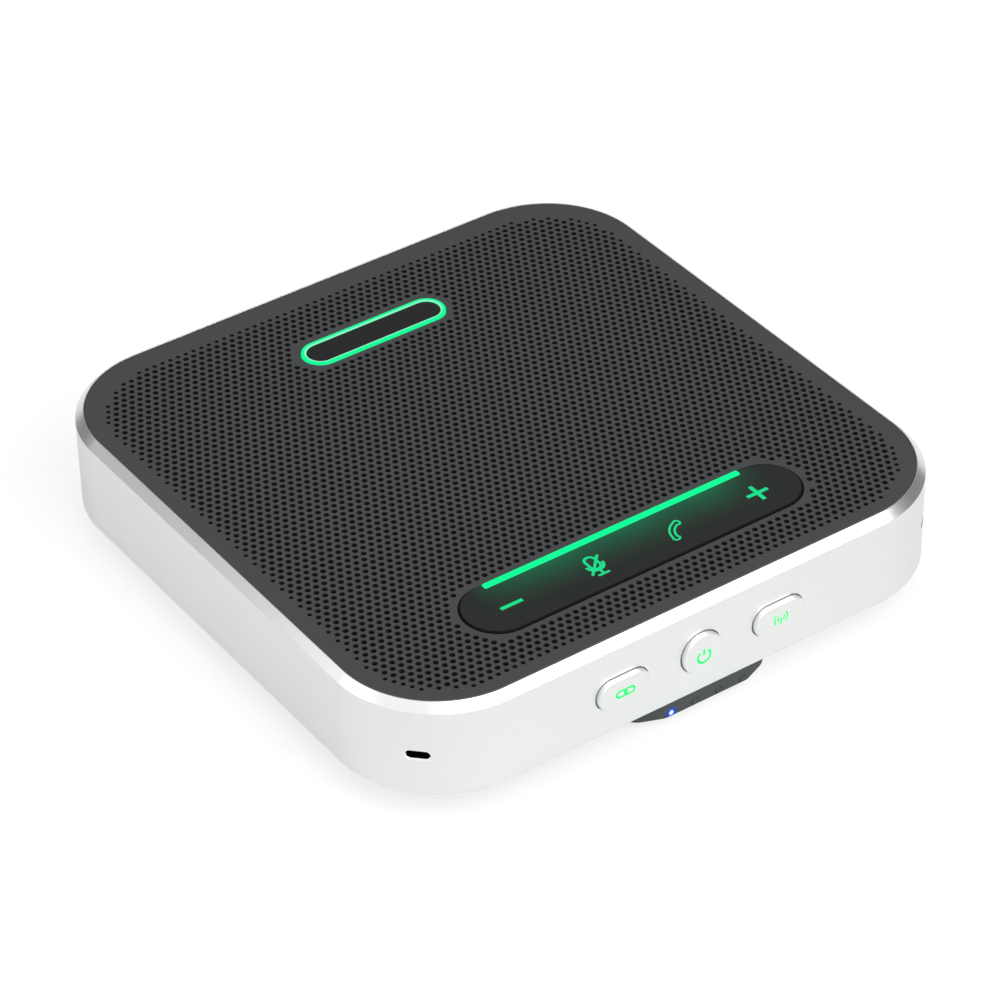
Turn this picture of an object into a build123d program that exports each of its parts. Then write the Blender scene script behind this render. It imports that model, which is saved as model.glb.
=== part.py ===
from build123d import *

import math
import os

# Square conference speakerphone: an aluminium side frame between a perforated top plate and a
# plastic bottom cover, with three push keys in the front wall, a touch panel and a badge in the
# top plate, four corner microphones, and one sealed loudspeaker facing up in the middle.
#
# Frame: +Z up, +X to the right along the front wall, the front wall (with the keys) faces -Y.
# The origin is the middle of the rubber pad's face, on the table. Units are millimetres.

# ---------------------------------------------------------------- driving dimensions
# Body and side frame
body_side = 145.0  # outside width and depth of the side frame
body_corner = 25.0  # plan radius of the side frame's corners
frame_height = 23.0  # side frame, bottom edge to top edge
frame_wall = 2.0
frame_chamfer = 1.8  # bright chamfer round the top edge, 45 degrees
frame_rim = 0.2  # flat left between the chamfer and the plate's rebate
frame_foot_round = 0.5  # small round along the frame's bottom edge
ledge_width = 2.0  # ledge that carries the top plate
ledge_thickness = 1.5

# Top plate and its perforation
plate_thickness = 1.0
plate_gap = 0.15  # between the plate and its rebate
hole_diameter = 1.25
hole_pitch = 2.0  # every hole's pitch on the real plate
hole_stride = 4  # the model carries one hole in four, each way
plain_rim = 5.0  # unperforated border of the plate
plain_band = 2.2  # unperforated border round the touch panel and the badge
scrim_thickness = 0.3  # black fabric glued under the plate
scrim_gap = 0.3

# Touch panel in the top plate
touch_length = 85.0
touch_width = 16.5
touch_front_inset = 23.0  # front wall's face to the panel's middle
touch_proud = 0.3  # how far the lens stands above the plate
touch_lens_thickness = 1.7
strip_length = 66.0  # green light strip along the lens's far edge
strip_width = 1.8
strip_gap = 0.05

# Badge in the top plate
badge_length = 37.2
badge_width = 9.2
badge_back_inset = 25.7  # back wall's face to the badge's middle
badge_proud = 0.2
badge_plate_gap = 0.05
badge_ring_width = 1.1

# Light boards and their carriers, bonded under the top plate
inlay_gap = 0.15  # between an inlay and its hole in the plate
light_board_thickness = 0.7
carrier_flange = 2.0  # how far a carrier reaches past its hole
carrier_floor = 1.0

# Bottom cover, pedestal and rubber pad
foot_drop = 7.0  # table to the frame's bottom edge
cover_gap = 0.3  # between the cover's edge and the frame's wall
cover_thickness = 2.4
pedestal_radius = 60.0
pedestal_wall = 2.0
pedestal_floor = 1.0  # over the pad
pad_radius = 56.0
pad_thickness = 1.5
pad_proud = 0.8  # how far the pad stands below the pedestal
pad_gap = 0.3

# Chin with the four battery lights, under the front wall
chin_centre_x = 2.9
chin_front_inset = 1.3  # chin's face behind the front wall's face
chin_bottom_z = 2.1
chin_flat = 21.2  # width of its face
chin_sweep = 8.0  # its swept sides reach this far out ...
chin_sweep_back = 3.2  # ... and this far back
chin_depth = 20.0
chin_corner = 4.5
chin_top_gap = 0.3  # under the frame's bottom edge
light_count = 4
light_pitch = 6.2
light_diameter = 1.7
light_above_chin = 1.15  # light's centre above the chin's bottom
light_proud = 0.05
chin_wall = 1.9
chin_floor = 1.0
chin_rib = 1.2  # wall between the chin's pocket and the pedestal
chin_pocket_end = 3.0  # pocket past the outermost lights
chin_pocket_back = 1.2  # room behind the lights' board
light_gap = 0.05
chin_board_height = 5.5
chin_board_gap = 0.5
chin_led_side = 1.6
chin_board_thickness = 0.8
chin_led_depth = 0.8

# Push keys in the front wall
key_centre_z = 17.3
key_spacing = 20.0
round_key_diameter = 9.9
long_key_length = 13.0
long_key_height = 7.3
key_gap = 0.2  # cap to its hole in the wall
key_proud = 1.15
key_edge_round = 0.5
key_flange = 0.8  # flange wider than the hole, all round
key_flange_thickness = 1.0
key_stem_diameter = 3.0
key_stem_length = 0.9
key_rest_gap = 0.05  # flange to the wall's inner face
key_travel = 0.5
switch_side = 6.0
switch_depth = 3.5
plunger_diameter = 2.6
plunger_stand = 0.7  # plunger's length outside its switch
plunger_gap = 0.1
key_board_length = 54.0
key_board_thickness = 1.0
key_board_height = 12.0
key_post_width = 4.0
key_post_wall = 1.5
key_post_height = 10.0
key_post_gap = 0.15
plunger_hidden = 1.1  # plunger's length inside its switch
plunger_room = 0.4  # left behind the plunger when the key is down

# Corner microphones
mic_slot_length = 4.9
mic_slot_height = 1.8
mic_centre_z = 17.2
mic_boot_width = 8.0
mic_boot_height = 6.0
mic_boot_depth = 5.0
mic_capsule_diameter = 4.0
mic_capsule_length = 2.2
mic_channel_diameter = 1.4
mic_board_thickness = 0.8
mic_board_width = 7.0
mic_board_height = 5.6
mic_seat_inset = 1.2  # seat under a boot, behind the frame's inner face
mic_seat_narrower = 0.5  # each side
mic_wall_gap = 0.05

# Loudspeaker and its sealed box
tub_radius = 37.5
tub_wall = 1.8
tub_floor = 1.8
lid_below_plate = 5.2  # lid's upper face to the top plate's lower face
lid_thickness = 1.8
gasket_thickness = 0.6
driver_flange_radius = 34.5
driver_flange_thickness = 1.2
basket_mouth_radius = 29.2
lid_mouth_gap = 0.4  # basket's mouth to the lid's opening
basket_sheet = 0.8
basket_foot_radius = 19.0
basket_foot_thickness = 1.2
basket_window_width = 10.0
basket_window_inset = 2.0  # windows stop short of the flange and the foot
spider_step = 0.6
spider_thickness = 0.3
spider_radius = 18.0
spider_seat = 2.2  # flat outer border, bonded to the basket's step
spider_neck = 0.6  # flat inner border, bonded to the former
spider_wave = 0.5
spider_waves = 3
spider_gap = 0.02
top_plate_thickness = 2.0
magnet_thickness = 4.0
yoke_thickness = 2.0
yoke_clearance = 1.0  # under the magnet system
pole_radius = 7.5
steel_radius = 18.0
magnet_radius = 20.0
magnet_bore_radius = 9.5
basket_bore_radius = 10.5
coil_radius = 8.0  # inside of the voice coil's former
coil_sheet = 0.35
coil_winding = 0.3
coil_winding_length = 5.0
coil_below_steel = 4.0  # former's foot below the top plate's upper face
coil_above_cone = 1.0
cone_foot_height = 2.6  # cone's foot above the basket's foot
gap_clearance = 0.25  # winding to the top plate
cone_sheet = 0.5
cone_edge_radius = 25.2
cone_rim_width = 1.2
roll_radius = 2.0
roll_sheet = 0.4
surround_lip = 0.9  # flat lip either side of the roll
dust_cap_radius = 10.5
dust_cap_height = 2.6
dust_cap_sheet = 0.4
lid_ear_radius = 3.5
lid_ear_reach = 41.0  # from the speaker's axis to each ear's screw
lid_post_radius = 3.0

# Electronics
main_board_length = 108.0
main_board_depth = 25.0
main_board_thickness = 1.6
main_board_back_gap = 4.0  # board's edge to the back wall's inner face
main_board_z = 12.0
board_post_radius = 2.8
board_post_inset = 4.5
shield_side = 13.0
shield_height = 2.2
shield_sheet = 0.3
shield_x = 18.0
shield_back_gap = 17.5  # board's back edge to the can's middle
port_width = 8.94
port_height = 3.26
port_length = 8.0
port_sheet = 0.3
port_corner_gap = 0.35  # receptacle to the opening in the wall
port_mouth_inset = 1.3  # mouth behind the wall's outer face
port_back_wall = 1.0
tongue_inset = 1.0  # tongue's tip behind the mouth
tongue_width = 6.7
tongue_thickness = 0.7
battery_length = 64.0
battery_width = 23.0
battery_thickness = 9.0
battery_round = 2.0
battery_wall_gap = 4.5  # cell to the side wall's inner face
battery_gap = 0.3
cradle_stop_height = 4.0
cradle_rib = 2.0  # thickness of the ribs under the battery
cradle_spacing = 40.0

# Fasteners
cover_screw_inset = 4.5  # from the side wall's inner face
cover_screw_y = 42.0
frame_boss_radius = 3.2
frame_boss_height = 8.0
frame_bore_depth = 6.5
screw_shank_radius = 1.2
screw_bore_gap = 0.05
screw_hole_radius = 1.5
screw_head_radius = 2.3
screw_head_height = 1.3
screw_head_gap = 0.2
screw_socket_share = 0.45  # driver socket's radius, as a share of the head's
screw_socket_floor = 0.4  # solid under the socket, as a share of the head's height
screw_sunk = 0.1  # head behind the cover's lower face
screw_length = 7.0
small_shank_radius = 1.0
small_hole_radius = 1.2
small_head_radius = 1.7
small_head_height = 1.1
small_screw_length = 5.0
driver_screw_circle = 32.4
driver_screw_bite = 1.6  # into the lid
screw_tip_room = 0.5  # under a screw's tip
root = 0.5  # how deep a post's foot runs into what it stands on
over = 1.0  # how far a cutter runs past what it cuts

# ---------------------------------------------------------------- derived places
half = body_side / 2
inner_half = half - frame_wall
frame_bottom_z = foot_drop
top_z = frame_bottom_z + frame_height
plate_under_z = top_z - plate_thickness
rebate_half = half - frame_chamfer - frame_rim
plate_half = rebate_half - plate_gap
cover_top_z = frame_bottom_z + cover_thickness
pedestal_bottom_z = pad_proud
pedestal_inside_z = pad_thickness + pedestal_floor
inlay_board_z = top_z + touch_proud - touch_lens_thickness
front_inner_y = -inner_half
touch_centre_y = touch_front_inset - half
badge_centre_y = half - badge_back_inset
battery_centre_x = battery_wall_gap + battery_width / 2 - inner_half
cover_screw_x = inner_half - cover_screw_inset
lid_mouth_radius = basket_mouth_radius + lid_mouth_gap
mic_boot_back = body_corner - frame_wall - mic_boot_depth
board_back_y = inner_half - main_board_back_gap
board_front_y = board_back_y - main_board_depth
board_top_z = main_board_z + main_board_thickness
lid_top_z = plate_under_z - lid_below_plate
port_centre_z = board_top_z + port_height / 2
switch_front_y = (
    front_inner_y + key_rest_gap + key_flange_thickness + key_stem_length + plunger_stand
)
key_board_y = switch_front_y + switch_depth
light_z = chin_bottom_z + light_above_chin
chin_face_y = -half + chin_front_inset
chin_board_y = chin_face_y + chin_wall + chin_led_depth
flange_bottom_z = lid_top_z + gasket_thickness
flange_top_z = flange_bottom_z + driver_flange_thickness
corner_centre = half - body_corner
diagonals = [45, 135, 225, 315]
key_places = {"link": -key_spacing, "power": 0.0, "pairing": key_spacing}

os.makedirs("parts", exist_ok=True)


# ---------------------------------------------------------------- small helpers
def square_prism(side_half, corner, z_low, z_high):
    """Rounded square prism centred on the Z axis."""
    outline = RectangleRounded(2 * side_half, 2 * side_half, corner)
    return Pos(0, 0, z_low) * extrude(outline, z_high - z_low)


def block(x_low, x_high, y_low, y_high, z_low, z_high):
    """Box between two corners."""
    size = (x_high - x_low, y_high - y_low, z_high - z_low)
    return Pos(x_low, y_low, z_low) * Box(*size, align=(Align.MIN, Align.MIN, Align.MIN))


def post(radius, z_low, z_high, x=0.0, y=0.0):
    """Upright cylinder."""
    align = (Align.CENTER, Align.CENTER, Align.MIN)
    return Pos(x, y, z_low) * Cylinder(radius, z_high - z_low, align=align)


def ring(outer, inner, z_low, z_high):
    """Upright tube round the Z axis."""
    return post(outer, z_low, z_high) - post(inner, z_low - 1, z_high + 1)


def obround(length, width):
    """Flat outline with two round ends, or a circle when it is as wide as it is long."""
    if length - width < 0.01:
        return Circle(width / 2)
    return SlotOverall(length, width)


def flat_obround(length, width, z_low, z_high, y):
    """Obround prism lying in the top plate's plane."""
    return Pos(0, y, z_low) * extrude(obround(length, width), z_high - z_low)


def wall_obround(length, height, y_low, y_high, x, z):
    """Obround prism that runs along Y through the front or back wall."""
    plane = Plane(origin=(x, y_low, z), x_dir=(1, 0, 0), z_dir=(0, 1, 0))
    return extrude(plane * obround(length, height), y_high - y_low)


def y_rod(radius, y_low, y_high, x, z):
    """Cylinder along Y."""
    return wall_obround(2 * radius, 2 * radius, y_low, y_high, x, z)


def turned(points):
    """Solid of revolution about the Z axis, from (radius, z) corner points."""
    outline = Plane.XZ * make_face(Polyline(*[(r, z) for r, z in points], close=True))
    return revolve(outline, Axis.Z)


def at_diagonals(piece, reach):
    """Four copies of a piece, each moved out along a diagonal from the Z axis."""
    places = [(math.cos(math.radians(a)), math.sin(math.radians(a))) for a in diagonals]
    return [Pos(reach * cx, reach * cy, 0) * piece for cx, cy in places]


def mic_frame(angle):
    """Location at a corner's arc centre, with its X axis pointing out along the diagonal."""
    sign_x = math.copysign(1, math.cos(math.radians(angle)))
    sign_y = math.copysign(1, math.sin(math.radians(angle)))
    place = Location((corner_centre * sign_x, corner_centre * sign_y, mic_centre_z))
    return place * Rot(0, 0, angle)


def screw(head_radius, head_height, shank_radius, length, head_up=True):
    """Screw at the origin: its head's seat at z 0, its shank pointing down (or up)."""
    head = post(head_radius, 0, head_height)
    socket_radius = head_radius * screw_socket_share
    socket = post(socket_radius, head_height * screw_socket_floor, head_height + over)
    body = head - socket + post(shank_radius, -length, 0)
    return body if head_up else Rot(180, 0, 0) * body


def save(name, *pieces):
    """Writes one sub-part, a single solid or a group of separate solids."""
    solids = [s for piece in pieces for s in piece.solids()]
    whole = solids[0] if len(solids) == 1 else Compound(children=solids)
    whole.label = name
    export_step(whole, f"parts/{name}.step")
    print(f"{name:22s} solids {len(solids)}  volume {sum(s.volume for s in solids):10.2f}")


# ---------------------------------------------------------------- casing
def side_frame():
    """Aluminium side frame with its chamfer, ledge, openings and screw bosses."""
    shell = square_prism(half, body_corner, frame_bottom_z, top_z)
    top_edges = shell.faces().sort_by(Axis.Z)[-1].edges()
    shell = chamfer(top_edges, frame_chamfer)
    foot_edges = shell.faces().sort_by(Axis.Z)[0].edges()
    shell = fillet(foot_edges, frame_foot_round)
    ledge_z = plate_under_z - ledge_thickness
    inner_corner = body_corner - frame_wall
    shell -= square_prism(inner_half, inner_corner, frame_bottom_z - 1, ledge_z)
    opening_half = inner_half - ledge_width
    shell -= square_prism(opening_half, inner_corner - ledge_width, ledge_z - 1, top_z)
    rebate_corner = body_corner - (half - rebate_half)
    shell -= square_prism(rebate_half, rebate_corner, plate_under_z, top_z + 1)
    for x, y in cover_screw_places():
        boss = post(frame_boss_radius, cover_top_z, cover_top_z + frame_boss_height, x, y)
        wall_x = math.copysign(inner_half + frame_wall / 2, x)
        web = block(
            min(x, wall_x),
            max(x, wall_x),
            y - frame_boss_radius,
            y + frame_boss_radius,
            cover_top_z,
            cover_top_z + frame_boss_height,
        )
        bore = post(screw_shank_radius + screw_bore_gap, 0, cover_top_z + frame_bore_depth, x, y)
        shell = shell + boss + web - bore
    for name, x in key_places.items():
        length, height = key_size(name)
        hole = wall_obround(
            length + 2 * key_gap,
            height + 2 * key_gap,
            -half - 1,
            front_inner_y + 1,
            x,
            key_centre_z,
        )
        shell -= hole
    for angle in diagonals:
        shell -= mic_frame(angle) * mic_slot()
    gap = 2 * port_corner_gap
    shell -= wall_obround(
        port_width + gap, port_height + gap, inner_half - 1, half + 1, 0, port_centre_z
    )
    return shell


def mic_slot():
    """Cutter for a microphone's slot through a corner of the frame, along local X."""
    plane = Plane(origin=(body_corner - frame_wall - 1, 0, 0), x_dir=(0, 1, 0), z_dir=(1, 0, 0))
    return extrude(plane * SlotOverall(mic_slot_length, mic_slot_height), frame_wall + 2)


def cover_screw_places():
    """Plan positions of the four screws that hold the cover to the frame."""
    return [(x, y) for x in (-cover_screw_x, cover_screw_x) for y in (-cover_screw_y, cover_screw_y)]


def perforation():
    """Plan positions of the modelled holes, on a 60 degree lattice clear of rim and inlays."""
    pitch = hole_pitch * hole_stride
    row = pitch * math.sqrt(3) / 2
    reach = plate_half - plain_rim
    corner = body_corner - (half - plate_half) - plain_rim
    count = int(2 * half / row)
    places = []
    for j in range(-count, count + 1):
        for i in range(-count, count + 1):
            x, y = (i + (j % 2) / 2) * pitch, j * row
            if inside_square(x, y, reach, corner) and clear_of_inlays(x, y):
                places.append((x, y))
    return places


def inside_square(x, y, reach, corner):
    """True if a point lies inside a rounded square."""
    past_x, past_y = abs(x) - (reach - corner), abs(y) - (reach - corner)
    if past_x > 0 and past_y > 0:
        return math.hypot(past_x, past_y) <= corner
    return max(abs(x), abs(y)) <= reach


def clear_of_inlays(x, y):
    """True if a point is clear of the touch panel and the badge by the plain band."""
    inlays = ((touch_length, touch_width, touch_centre_y), (badge_length, badge_width, badge_centre_y))
    for length, width, centre_y in inlays:
        past = max(abs(x) - (length - width) / 2, 0)
        if math.hypot(past, y - centre_y) < width / 2 + plain_band:
            return False
    return True


def top_plate():
    """Perforated steel plate with the openings for the touch panel and the badge."""
    plate = square_prism(plate_half, body_corner - (half - plate_half), plate_under_z, top_z)
    low, high = plate_under_z - 1, top_z + 1
    plate -= flat_obround(touch_length, touch_width, low, high, touch_centre_y)
    plate -= flat_obround(badge_length, badge_width, low, high, badge_centre_y)
    holes = [post(hole_diameter / 2, low, high, x, y) for x, y in perforation()]
    return plate - holes


def scrim():
    """Black acoustic fabric under the plate, cut round the two carriers."""
    side = inner_half - ledge_width - scrim_gap
    corner = body_corner - frame_wall - ledge_width
    sheet = square_prism(side, corner, plate_under_z - scrim_thickness, plate_under_z)
    low, high = plate_under_z - 1, plate_under_z + 1
    grow = 2 * (carrier_flange + scrim_gap)
    sheet -= flat_obround(touch_length + grow, touch_width + grow, low, high, touch_centre_y)
    sheet -= flat_obround(badge_length + grow, badge_width + grow, low, high, badge_centre_y)
    return sheet


# ---------------------------------------------------------------- inlays in the top plate
def carrier(length, width, centre_y):
    """Tray under an inlay: its flange is bonded to the plate's lower face."""
    board_under = inlay_board_z - light_board_thickness
    grow = 2 * carrier_flange
    tray = flat_obround(
        length + grow, width + grow, board_under - carrier_floor, plate_under_z, centre_y
    )
    return tray - flat_obround(length, width, board_under, plate_under_z + 1, centre_y)


def light_board(length, width, centre_y):
    """Board with its lights, on the carrier's floor and against the inlay's back."""
    gap = 4 * inlay_gap
    low = inlay_board_z - light_board_thickness
    return flat_obround(length - gap, width - gap, low, inlay_board_z, centre_y)


def strip_edge_y():
    """The touch lens's far straight edge."""
    return touch_centre_y + touch_width / 2 - inlay_gap


def touch_lens():
    """Gloss black lens with a notch along its far edge for the light strip."""
    gap = 2 * inlay_gap
    high = inlay_board_z + touch_lens_thickness
    lens = flat_obround(touch_length - gap, touch_width - gap, inlay_board_z, high, touch_centre_y)
    edge = strip_edge_y()
    reach = strip_length / 2 + strip_gap
    near = edge - strip_width - strip_gap
    return lens - block(-reach, reach, near, edge + over, inlay_board_z - over, high + over)


def light_strip():
    """Green light guide that fills the lens's notch."""
    edge = strip_edge_y()
    high = inlay_board_z + touch_lens_thickness
    reach = strip_length / 2
    return block(-reach, reach, edge - strip_width, edge, inlay_board_z, high)


def badge_ring():
    """Green light guide round the badge."""
    gap = 2 * inlay_gap
    low, high = inlay_board_z, top_z + badge_proud
    outer = flat_obround(badge_length - gap, badge_width - gap, low, high, badge_centre_y)
    grow = gap + 2 * badge_ring_width
    hole = flat_obround(badge_length - grow, badge_width - grow, low - 1, high + 1, badge_centre_y)
    return outer - hole


def badge_plate():
    """Plain nameplate inside the ring."""
    shrink = 2 * (inlay_gap + badge_ring_width + badge_plate_gap)
    low, high = inlay_board_z, top_z + badge_proud / 2
    return flat_obround(badge_length - shrink, badge_width - shrink, low, high, badge_centre_y)


# ---------------------------------------------------------------- bottom
def chin_outline():
    """Plan outline of the chin, from its flat face back to inside the pedestal."""
    flat_half = chin_flat / 2
    wide = flat_half + chin_sweep
    right = [
        (flat_half, chin_face_y),
        (wide, chin_face_y + chin_sweep_back),
        (wide - 2, chin_face_y + chin_depth),
    ]
    left = [(-x, y) for x, y in reversed(right)]
    face = make_face(Polyline(*(right + left), close=True))
    front = face.vertices().sort_by(Axis.Y)[:4]
    return Pos(chin_centre_x, 0, 0) * fillet(front, chin_corner)


def bottom_cover():
    """Plastic cover: plate, round pedestal, chin, posts for the boards and the speaker box."""
    cover_half = inner_half - cover_gap
    cover = square_prism(
        cover_half, body_corner - frame_wall - cover_gap, frame_bottom_z, cover_top_z
    )
    cover += post(pedestal_radius, pedestal_bottom_z, cover_top_z)
    chin = Pos(0, 0, chin_bottom_z) * extrude(chin_outline(), cover_top_z - chin_bottom_z)
    under_wall = block(-half, half, -half - 1, -cover_half, frame_bottom_z - chin_top_gap, top_z)
    cover += chin - under_wall
    cover -= post(pedestal_radius - pedestal_wall, pedestal_inside_z, cover_top_z + 1)
    cover -= post(pad_radius + pad_gap, -1, pad_thickness)
    cover += chin_bulkhead()
    cover -= chin_pocket()
    for x in light_places():
        radius = light_diameter / 2 + light_gap
        cover -= y_rod(radius, chin_face_y - over, chin_face_y + chin_wall + over, x, light_z)
    for x, y in cover_screw_places():
        seat_z = frame_bottom_z + screw_sunk + screw_head_height
        cover -= post(screw_hole_radius, 0, cover_top_z + 1, x, y)
        cover -= post(screw_head_radius + screw_head_gap, 0, seat_z, x, y)
    for piece in board_posts() + lid_posts() + mic_posts() + cradle_ribs() + key_posts():
        cover += piece
    cover -= board_post_bores() + lid_post_bores()
    return cover


def light_places():
    """The four battery lights' X positions."""
    first = chin_centre_x - light_pitch * (light_count - 1) / 2
    return [first + light_pitch * k for k in range(light_count)]


def chin_pocket_box(grow):
    """Low and high corners of the pocket behind the chin's face, grown by a wall."""
    reach = light_pitch * (light_count - 1) / 2 + chin_pocket_end + grow
    front = chin_face_y + chin_wall - grow
    back = chin_board_y + chin_board_thickness + chin_pocket_back + grow
    return chin_centre_x - reach, chin_centre_x + reach, front, back


def chin_pocket():
    """Pocket for the battery lights' board, open upwards into the body."""
    return block(*chin_pocket_box(0), chin_bottom_z + chin_floor, cover_top_z + over)


def chin_bulkhead():
    """Walls that keep the pocket apart from the pedestal's hollow."""
    x_low, x_high, front, back = chin_pocket_box(chin_rib)
    return block(x_low, x_high, front + chin_rib, back, chin_bottom_z, cover_top_z)


def board_post_places():
    """Plan positions of the main board's four posts."""
    reach = main_board_length / 2 - board_post_inset
    rows = (board_front_y + board_post_inset, board_back_y - board_post_inset)
    return [(x, y) for x in (-reach, reach) for y in rows]


def board_posts():
    """Posts that carry the main board."""
    posts = []
    for x, y in board_post_places():
        inside = math.hypot(x, y) < pedestal_radius - pedestal_wall + board_post_radius
        floor_z = pedestal_inside_z if inside else cover_top_z
        posts.append(post(board_post_radius, floor_z - root, main_board_z, x, y))
    return posts


def board_post_bores():
    """Bores for the main board's screws."""
    radius = small_shank_radius + screw_bore_gap
    low = board_top_z - small_screw_length - screw_tip_room
    return [post(radius, low, board_top_z, x, y) for x, y in board_post_places()]


def lid_posts():
    """Tall posts that carry the speaker box's lid by its ears."""
    tall = post(lid_post_radius, pedestal_inside_z - root, lid_top_z - lid_thickness)
    return at_diagonals(tall, lid_ear_reach)


def lid_post_bores():
    """Bores in those posts."""
    low = lid_top_z - small_screw_length - screw_tip_room
    return at_diagonals(post(small_shank_radius + screw_bore_gap, low, lid_top_z), lid_ear_reach)


def mic_posts():
    """A seat under each corner microphone's boot."""
    seat_z = mic_centre_z - mic_boot_height / 2
    front = body_corner - frame_wall - mic_seat_inset
    side = mic_boot_width / 2 - mic_seat_narrower
    low = cover_top_z - root - mic_centre_z
    seat = block(mic_boot_back, front, -side, side, low, seat_z - mic_centre_z)
    return [mic_frame(angle) * seat for angle in diagonals]


def cradle_ribs():
    """Two ribs across the pedestal's hollow that carry the battery."""
    low_x = battery_centre_x - battery_width / 2
    high_x = battery_centre_x + battery_width / 2
    low_z = pedestal_inside_z - root
    hollow = post(pedestal_radius - pedestal_wall / 2, 0, top_z)
    ribs = []
    for y in (-cradle_spacing / 2, cradle_spacing / 2):
        y_low, y_high = y - cradle_rib / 2, y + cradle_rib / 2
        ribs.append(hollow & block(low_x, high_x, y_low, y_high, low_z, cover_top_z))
        stop_x = high_x + battery_gap
        stop_top_z = cover_top_z + cradle_stop_height
        ribs.append(block(stop_x, stop_x + cradle_rib, y_low, y_high, low_z, stop_top_z))
    return ribs


def key_posts():
    """Two slotted posts that hold the ends of the key board."""
    reach = key_board_length / 2
    posts = []
    for side in (-1, 1):
        middle = side * (reach + key_post_width / 2 - key_post_wall)
        x_low, x_high = middle - key_post_width / 2, middle + key_post_width / 2
        y_low = key_board_y - key_post_wall
        y_high = key_board_y + key_board_thickness + key_post_wall
        post_top_z = cover_top_z + key_post_height
        body = block(x_low, x_high, y_low, y_high, cover_top_z - root, post_top_z)
        slot = block(
            -reach - key_post_gap,
            reach + key_post_gap,
            key_board_y - key_post_gap,
            key_board_y + key_board_thickness + key_post_gap,
            cover_top_z,
            post_top_z + over,
        )
        posts.append(body - slot)
    return posts


def rubber_pad():
    """Anti-slip pad let into the pedestal."""
    return post(pad_radius, 0, pad_thickness)


# ---------------------------------------------------------------- battery lights
def battery_lights():
    """Clear light pipes in the chin's face, left to right."""
    back = chin_board_y - chin_led_depth
    radius = light_diameter / 2
    return [y_rod(radius, chin_face_y - light_proud, back, x, light_z) for x in light_places()]


def chin_board():
    """Small board behind the battery lights."""
    x_low, x_high, _, _ = chin_pocket_box(-chin_board_gap)
    low_z = chin_bottom_z + chin_floor
    back_y = chin_board_y + chin_board_thickness
    return block(x_low, x_high, chin_board_y, back_y, low_z, low_z + chin_board_height)


def chin_leds():
    """Four lights on that board, each against the back of its pipe."""
    side = chin_led_side / 2
    front_y = chin_board_y - chin_led_depth
    return [
        block(x - side, x + side, front_y, chin_board_y, light_z, light_z + side)
        for x in light_places()
    ]


# ---------------------------------------------------------------- push keys
def key_size(name):
    """A key cap's length and height."""
    if name == "power":
        return round_key_diameter, round_key_diameter
    return long_key_length, long_key_height


def push_key(name):
    """Key cap with the flange that keeps it in the wall and the stem that works its switch."""
    length, height = key_size(name)
    x = key_places[name]
    flange_y = front_inner_y + key_rest_gap
    cap = wall_obround(length, height, -half - key_proud, flange_y + root, x, key_centre_z)
    cap = fillet(cap.faces().sort_by(Axis.Y)[0].edges(), key_edge_round)
    grow = 2 * (key_gap + key_flange)
    flange = wall_obround(
        length + grow, height + grow, flange_y, flange_y + key_flange_thickness, x, key_centre_z
    )
    stem_y = flange_y + key_flange_thickness
    stem_radius = key_stem_diameter / 2
    stem = y_rod(stem_radius, stem_y - root, stem_y + key_stem_length, x, key_centre_z)
    return cap + flange + stem


def switch_plunger(name):
    """Plunger of a key's switch, which moves with the key."""
    return y_rod(
        plunger_diameter / 2,
        switch_front_y - plunger_stand,
        switch_front_y + plunger_hidden,
        key_places[name],
        key_centre_z,
    )


def switch_bodies():
    """The three switches' housings on the key board."""
    bodies = []
    side = switch_side / 2
    for x in key_places.values():
        body = block(
            x - side, x + side, switch_front_y, key_board_y, key_centre_z - side, key_centre_z + side
        )
        depth = plunger_hidden + key_travel + plunger_room
        bore = y_rod(
            plunger_diameter / 2 + plunger_gap,
            switch_front_y - over,
            switch_front_y + depth,
            x,
            key_centre_z,
        )
        bodies.append(body - bore)
    return bodies


def key_board():
    """Upright board behind the front wall, standing on the cover."""
    reach = key_board_length / 2
    return block(
        -reach,
        reach,
        key_board_y,
        key_board_y + key_board_thickness,
        cover_top_z,
        cover_top_z + key_board_height,
    )


# ---------------------------------------------------------------- corner microphones
def mic_boot():
    """Rubber boot, curved to the frame's corner, with a sound channel and a capsule pocket."""
    outer_reach = body_corner - frame_wall - mic_wall_gap
    back = mic_boot_back
    side, tall = mic_boot_width / 2, mic_boot_height / 2
    body = block(back, outer_reach + over, -side, side, -tall, tall)
    body &= Cylinder(outer_reach, mic_boot_height)
    pocket = x_rod(mic_capsule_diameter / 2, back - over, back + mic_capsule_length)
    channel = x_rod(mic_channel_diameter / 2, back, outer_reach + over)
    return body - pocket - channel


def x_rod(radius, x_low, x_high):
    """Cylinder along local X."""
    plane = Plane(origin=(x_low, 0, 0), x_dir=(0, 1, 0), z_dir=(1, 0, 0))
    return extrude(plane * Circle(radius), x_high - x_low)


def mic_capsule():
    """Microphone capsule in the boot's pocket."""
    return x_rod(mic_capsule_diameter / 2, mic_boot_back, mic_boot_back + mic_capsule_length)


def mic_board():
    """Small board behind the capsule."""
    side, tall = mic_board_width / 2, mic_board_height / 2
    return block(mic_boot_back - mic_board_thickness, mic_boot_back, -side, side, -tall, tall)


def at_corners(piece):
    """A copy of a microphone piece at each corner."""
    return [mic_frame(angle) * piece for angle in diagonals]


# ---------------------------------------------------------------- loudspeaker
def speaker_tub():
    """Sealed tub that stands on the pedestal's floor."""
    low, high = pedestal_inside_z, lid_top_z - lid_thickness
    return post(tub_radius, low, high) - post(tub_radius - tub_wall, low + tub_floor, high + 1)


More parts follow.
